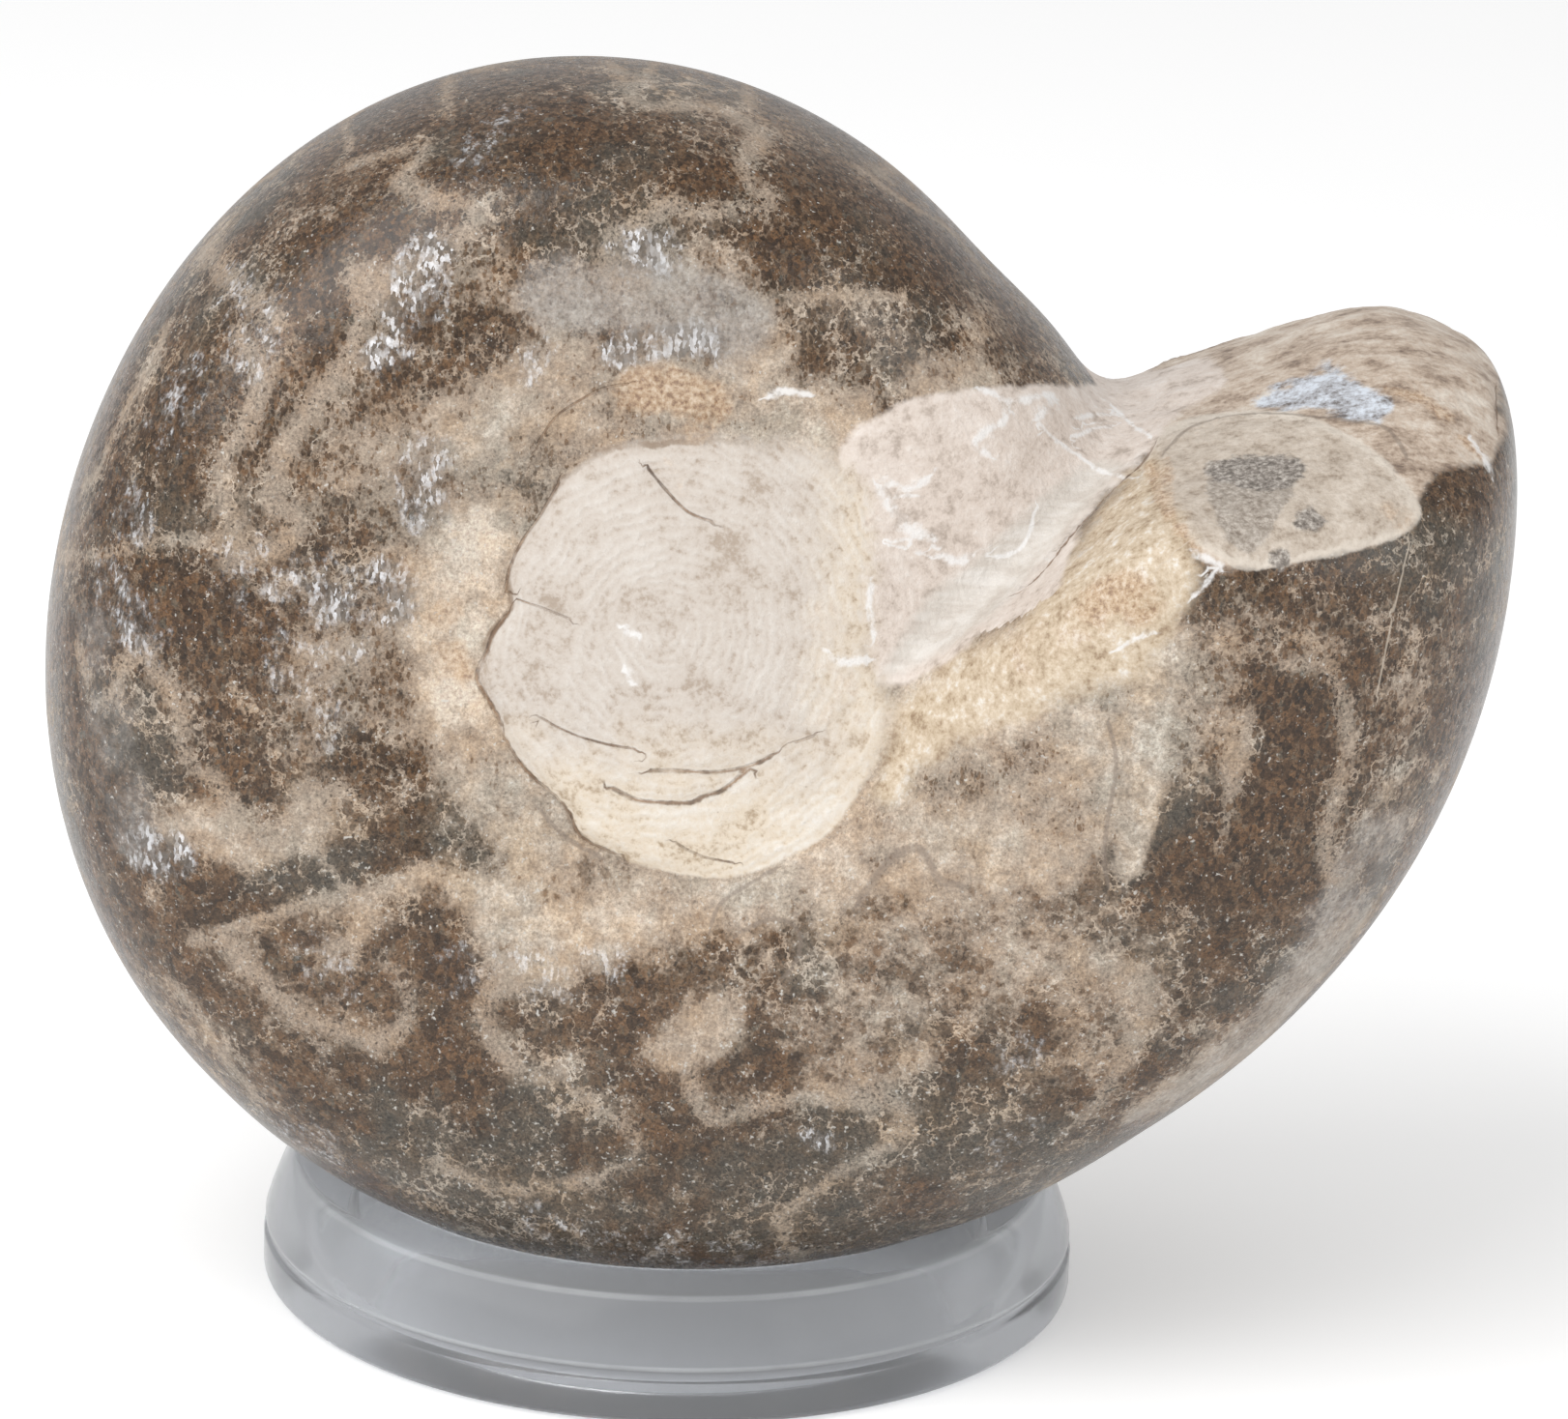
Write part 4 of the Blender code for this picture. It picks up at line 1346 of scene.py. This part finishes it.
def floor_material(settings):
    """Pale studio floor, hardly clouded, with a little light of its own."""
    material = bpy.data.materials.new("studio_floor")
    material.use_nodes = True
    graph = Graph(material.node_tree)
    shader = material.node_tree.nodes["Principled BSDF"]
    cloud = graph.noise(graph.coordinates(), 0.2)
    colour = graph.ramp(cloud, (
        (0.3, [channel * 0.985 for channel in settings.floor_colour]), (0.7, settings.floor_colour),
    ))
    graph.feed(shader.inputs["Base Color"], colour)
    shader.inputs["Roughness"].default_value = 0.8
    shader.inputs["Emission Color"].default_value = (1.0, 1.0, 1.0, 1.0)
    shader.inputs["Emission Strength"].default_value = settings.floor_glow
    return material


# Modelling helpers

def only_selected(obj):
    """Makes obj the one active and selected object."""
    bpy.ops.object.select_all(action="DESELECT")
    obj.select_set(True)
    bpy.context.view_layer.objects.active = obj


def in_edit_mode(obj, work):
    """Runs work in edit mode on obj, with everything selected."""
    only_selected(obj)
    bpy.ops.object.mode_set(mode="EDIT")
    bpy.ops.mesh.select_all(action="SELECT")
    work()
    bpy.ops.object.mode_set(mode="OBJECT")


def with_modifier(obj, kind, **settings):
    """Adds a modifier and applies it."""
    only_selected(obj)
    modifier = obj.modifiers.new(kind.lower(), kind)
    for name, value in settings.items():
        setattr(modifier, name, value)
    bpy.ops.object.modifier_apply(modifier=modifier.name)


def copy_of_node(node, name):
    """A copy of a CAD node with its loose triangles joined up."""
    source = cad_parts[node]
    obj = bpy.data.objects.new(name, source.data.copy())
    obj.data.name = name
    obj.data.materials.clear()
    bpy.context.scene.collection.objects.link(obj)
    in_edit_mode(obj, lambda: bpy.ops.mesh.remove_doubles(threshold=0.00001))
    return obj


def finished(obj, node, material):
    """Gives a piece its material and its place in the frame."""
    obj.data.materials.clear()
    obj.data.materials.append(material)
    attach(obj, "root")
    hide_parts(node)


def vertex_arrays(mesh):
    verts = np.empty(len(mesh.vertices) * 3)
    mesh.vertices.foreach_get("co", verts)
    normals = np.empty(len(mesh.vertices) * 3)
    mesh.vertices.foreach_get("normal", normals)
    return verts.reshape(-1, 3), normals.reshape(-1, 3)


# Settings

def colour_property(name, description, default):
    return FloatVectorProperty(
        name=name, description=description, subtype="COLOR", default=default, min=0.0, max=1.0)


class FossilSettings(bpy.types.PropertyGroup):
    """Sizes and colours of the fossil."""
    fineness: FloatProperty(
        name="Fineness", description="Edge length of the stone's mesh", default=0.56 * MM,
        min=0.3 * MM, unit="LENGTH", precision=5)
    polish: IntProperty(
        name="Polish", description="Smoothing passes over the facets of the frame",
        default=45, min=0)
    plug_height: FloatProperty(
        name="Plug Height", description="How far the stone in the navel stands proud",
        default=0.35 * MM, unit="LENGTH", precision=5)
    far_flank_turn: FloatProperty(
        name="Far Flank Turn", description="Degrees that the far flank's marks are turned by",
        default=-34.0)
    rim_sutures: IntProperty(
        name="Rim Sutures", description="Suture lines that cross the rim", default=24, min=0)
    suture_tone: FloatProperty(
        name="Suture Tone", description="Lightness of the suture bands", default=0.63,
        min=0.0, max=1.0)
    ground_dark: colour_property("Ground Dark", "Ground of the darkest stone", (0.062, 0.043, 0.030))
    ground_brown: colour_property("Ground Brown", "Ground of brown stone", (0.135, 0.094, 0.062))
    ground_tan: colour_property("Ground Tan", "Ground of tan stone", (0.265, 0.205, 0.155))
    ground_light: colour_property("Ground Light", "Ground of light stone", (0.395, 0.315, 0.243))
    ground_pale: colour_property("Ground Pale", "Ground of the palest stone", (0.58, 0.495, 0.405))
    crystal_dark: colour_property("Crystal Dark", "Darkest crystals", (0.016, 0.009, 0.005))
    crystal_brown: colour_property("Crystal Brown", "Brown crystals", (0.050, 0.027, 0.014))
    crystal_red: colour_property("Crystal Red", "Red-brown crystals", (0.125, 0.068, 0.033))
    crystal_grey: colour_property("Crystal Grey", "Grey crystals", (0.072, 0.068, 0.056))
    crystal_light: colour_property("Crystal Light", "Crystals in light stone", (0.21, 0.135, 0.080))


class RingSettings(bpy.types.PropertyGroup):
    """Make-up of the ring stand."""
    steps: IntProperty(
        name="Steps", description="Steps round the ring", default=180, min=24)
    edge: FloatProperty(
        name="Edge", description="Width of the rounding on each turned edge",
        default=0.18 * MM, unit="LENGTH", precision=5)
    tint: colour_property("Tint", "Colour of the clear plastic", (0.69, 0.705, 0.73))
    clearness: FloatProperty(
        name="Clearness", description="Share of the light that goes through", default=0.84,
        min=0.0, max=1.0, subtype="FACTOR")
    bending: FloatProperty(
        name="Bending", description="How strongly the plastic bends light", default=1.2,
        min=1.0, max=2.0)
    haze: FloatProperty(
        name="Haze", description="Roughness of the plastic's faces", default=0.14,
        min=0.0, max=1.0, subtype="FACTOR")


class StageSettings(bpy.types.PropertyGroup):
    """Floor and light."""
    floor_colour: colour_property("Floor", "Colour of the studio floor", (0.93, 0.93, 0.93))
    floor_glow: FloatProperty(
        name="Floor Glow", description="Light that the white table adds", default=0.22, min=0.0)
    floor_size: FloatProperty(
        name="Floor Size", description="Side of the floor", default=6.0, unit="LENGTH")
    sky: FloatProperty(
        name="Sky", description="Strength of the white surroundings", default=0.62, min=0.0)
    key: FloatProperty(
        name="Key Light", description="Power of the large light from the upper left",
        default=4.0, min=0.0)
    fill: FloatProperty(
        name="Fill Light", description="Power of the light from the right", default=1.5,
        min=0.0)


# Operators

class AMMONITE_OT_fossil(bpy.types.Operator):
    """Build the polished fossil over its CAD node"""
    bl_idname = "ammonite.fossil"
    bl_label = "Fossil"

    def execute(self, context):
        settings = context.scene.ammonite_fossil
        obj = copy_of_node("ammonite", "fossil_stone")
        with_modifier(obj, "REMESH", mode="VOXEL", voxel_size=settings.fineness)
        with_modifier(obj, "SMOOTH", factor=0.5, iterations=settings.polish)
        tree = BVHTree.FromPolygons(
            [v.co.copy() for v in obj.data.vertices],
            [tuple(p.vertices) for p in obj.data.polygons],
        )
        verts, normals = vertex_arrays(obj.data)
        plug_middle = tree.ray_cast(CAMERA_PLACE, photo_ray(PLUG_MIDDLE))[0]
        fields = stone_fields(verts, normals, tree, settings)
        verts += normals * (relief(verts, fields, settings, plug_middle) * MM)[:, None]
        obj.data.vertices.foreach_set("co", verts.ravel())
        for name, values in fields.items():
            store(obj.data, name, values)
        obj.data.shade_smooth()
        finished(obj, "ammonite", stone_material(settings, plug_middle))
        return {"FINISHED"}


def ring_profile(settings):
    """Puts the points of a many-sided circle onto the ring's turned outline."""
    bm = bmesh.from_edit_mesh(bpy.context.edit_object.data)
    for vert, (radius, height) in zip(list(bm.verts), RING_OUTLINE):
        vert.co = RING_CENTRE + Vector((radius, 0.0, height)) * MM
    bmesh.update_edit_mesh(bpy.context.edit_object.data)
    bpy.ops.mesh.spin(
        steps=settings.steps, angle=2 * math.pi, center=RING_CENTRE, axis=(0, 0, 1),
    )
    bpy.ops.mesh.select_all(action="SELECT")
    bpy.ops.mesh.remove_doubles(threshold=0.00001)
    bpy.ops.mesh.normals_make_consistent(inside=False)


class AMMONITE_OT_ring(bpy.types.Operator):
    """Turn the clear ring stand"""
    bl_idname = "ammonite.ring"
    bl_label = "Ring Stand"

    def execute(self, context):
        settings = context.scene.ammonite_ring
        bpy.ops.object.select_all(action="DESELECT")
        bpy.ops.mesh.primitive_circle_add(vertices=len(RING_OUTLINE), radius=0.01)
        obj = context.object
        obj.name = "clear_ring"
        in_edit_mode(obj, lambda: ring_profile(settings))
        with_modifier(
            obj, "BEVEL", width=settings.edge, segments=3, limit_method="ANGLE",
            angle_limit=math.radians(25),
        )
        only_selected(obj)
        bpy.ops.object.shade_smooth_by_angle(angle=math.radians(40))
        finished(obj, "ring_stand", clear_plastic_material(settings))
        return {"FINISHED"}


def soft_light(name, power, size, place):
    """A square area light that shines from its place to the fossil."""
    data = bpy.data.lights.new(name, "AREA")
    data.energy = power
    data.size = size
    obj = bpy.data.objects.new(name, data)
    bpy.context.scene.collection.objects.link(obj)
    turn = (Vector(LAMP_TARGET) - Vector(place)).to_track_quat("-Z", "Y")
    obj.matrix_world = Matrix.Translation(place) @ turn.to_matrix().to_4x4()


def photo_camera():
    """The camera of the photograph, without shift or depth of field."""
    data = bpy.data.cameras.new("photo_camera")
    data.sensor_width = 36.0
    data.lens = CAMERA_FOCUS_PIXELS * data.sensor_width / PHOTO_SIZE[0]
    data.clip_start = 0.01
    obj = bpy.data.objects.new("photo_camera", data)
    bpy.context.scene.collection.objects.link(obj)
    turn = Matrix(camera_axes()).transposed().to_4x4()
    obj.matrix_world = Matrix.Translation(CAMERA_PLACE) @ turn
    bpy.context.scene.camera = obj


class AMMONITE_OT_stage(bpy.types.Operator):
    """Set the floor, the lights and the camera"""
    bl_idname = "ammonite.stage"
    bl_label = "Stage"

    def execute(self, context):
        settings = context.scene.ammonite_stage
        bpy.ops.object.select_all(action="DESELECT")
        bpy.ops.mesh.primitive_plane_add(size=settings.floor_size, location=(0, 0, -FLOOR_GAP))
        floor = context.object
        floor.name = "studio_floor"
        floor.data.materials.append(floor_material(settings))
        world = bpy.data.worlds.new("white_surroundings")
        world.use_nodes = True
        background = world.node_tree.nodes["Background"]
        background.inputs["Color"].default_value = (1.0, 1.0, 1.0, 1.0)
        background.inputs["Strength"].default_value = settings.sky
        context.scene.world = world
        soft_light("key_light", settings.key, KEY_SIZE, KEY_PLACE)
        soft_light("fill_light", settings.fill, FILL_SIZE, FILL_PLACE)
        context.scene.view_settings.view_transform = "Standard"
        photo_camera()
        return {"FINISHED"}


class AMMONITE_PT_panel(bpy.types.Panel):
    """The fossil, its ring stand and the stage"""
    bl_idname = "AMMONITE_PT_panel"
    bl_label = "Ammonite"
    bl_space_type = "VIEW_3D"
    bl_region_type = "UI"
    bl_category = "Ammonite"

    def draw(self, context):
        parts = (
            (AMMONITE_OT_fossil, FossilSettings, context.scene.ammonite_fossil),
            (AMMONITE_OT_ring, RingSettings, context.scene.ammonite_ring),
            (AMMONITE_OT_stage, StageSettings, context.scene.ammonite_stage),
        )
        for operator, group, settings in parts:
            box = self.layout.box()
            for name in group.__annotations__:
                box.prop(settings, name)
            box.operator(operator.bl_idname)


CLASSES = (
    FossilSettings, RingSettings, StageSettings,
    AMMONITE_OT_fossil, AMMONITE_OT_ring, AMMONITE_OT_stage, AMMONITE_PT_panel,
)


def register():
    for cls in CLASSES:
        bpy.utils.register_class(cls)
    bpy.types.Scene.ammonite_fossil = PointerProperty(type=FossilSettings)
    bpy.types.Scene.ammonite_ring = PointerProperty(type=RingSettings)
    bpy.types.Scene.ammonite_stage = PointerProperty(type=StageSettings)


def unregister():
    del bpy.types.Scene.ammonite_fossil
    del bpy.types.Scene.ammonite_ring
    del bpy.types.Scene.ammonite_stage
    for cls in reversed(CLASSES):
        bpy.utils.unregister_class(cls)


def main():
    register()
    bpy.ops.ammonite.stage()
    bpy.ops.ammonite.ring()
    bpy.ops.ammonite.fossil()


if __name__ == "__main__":
    main()
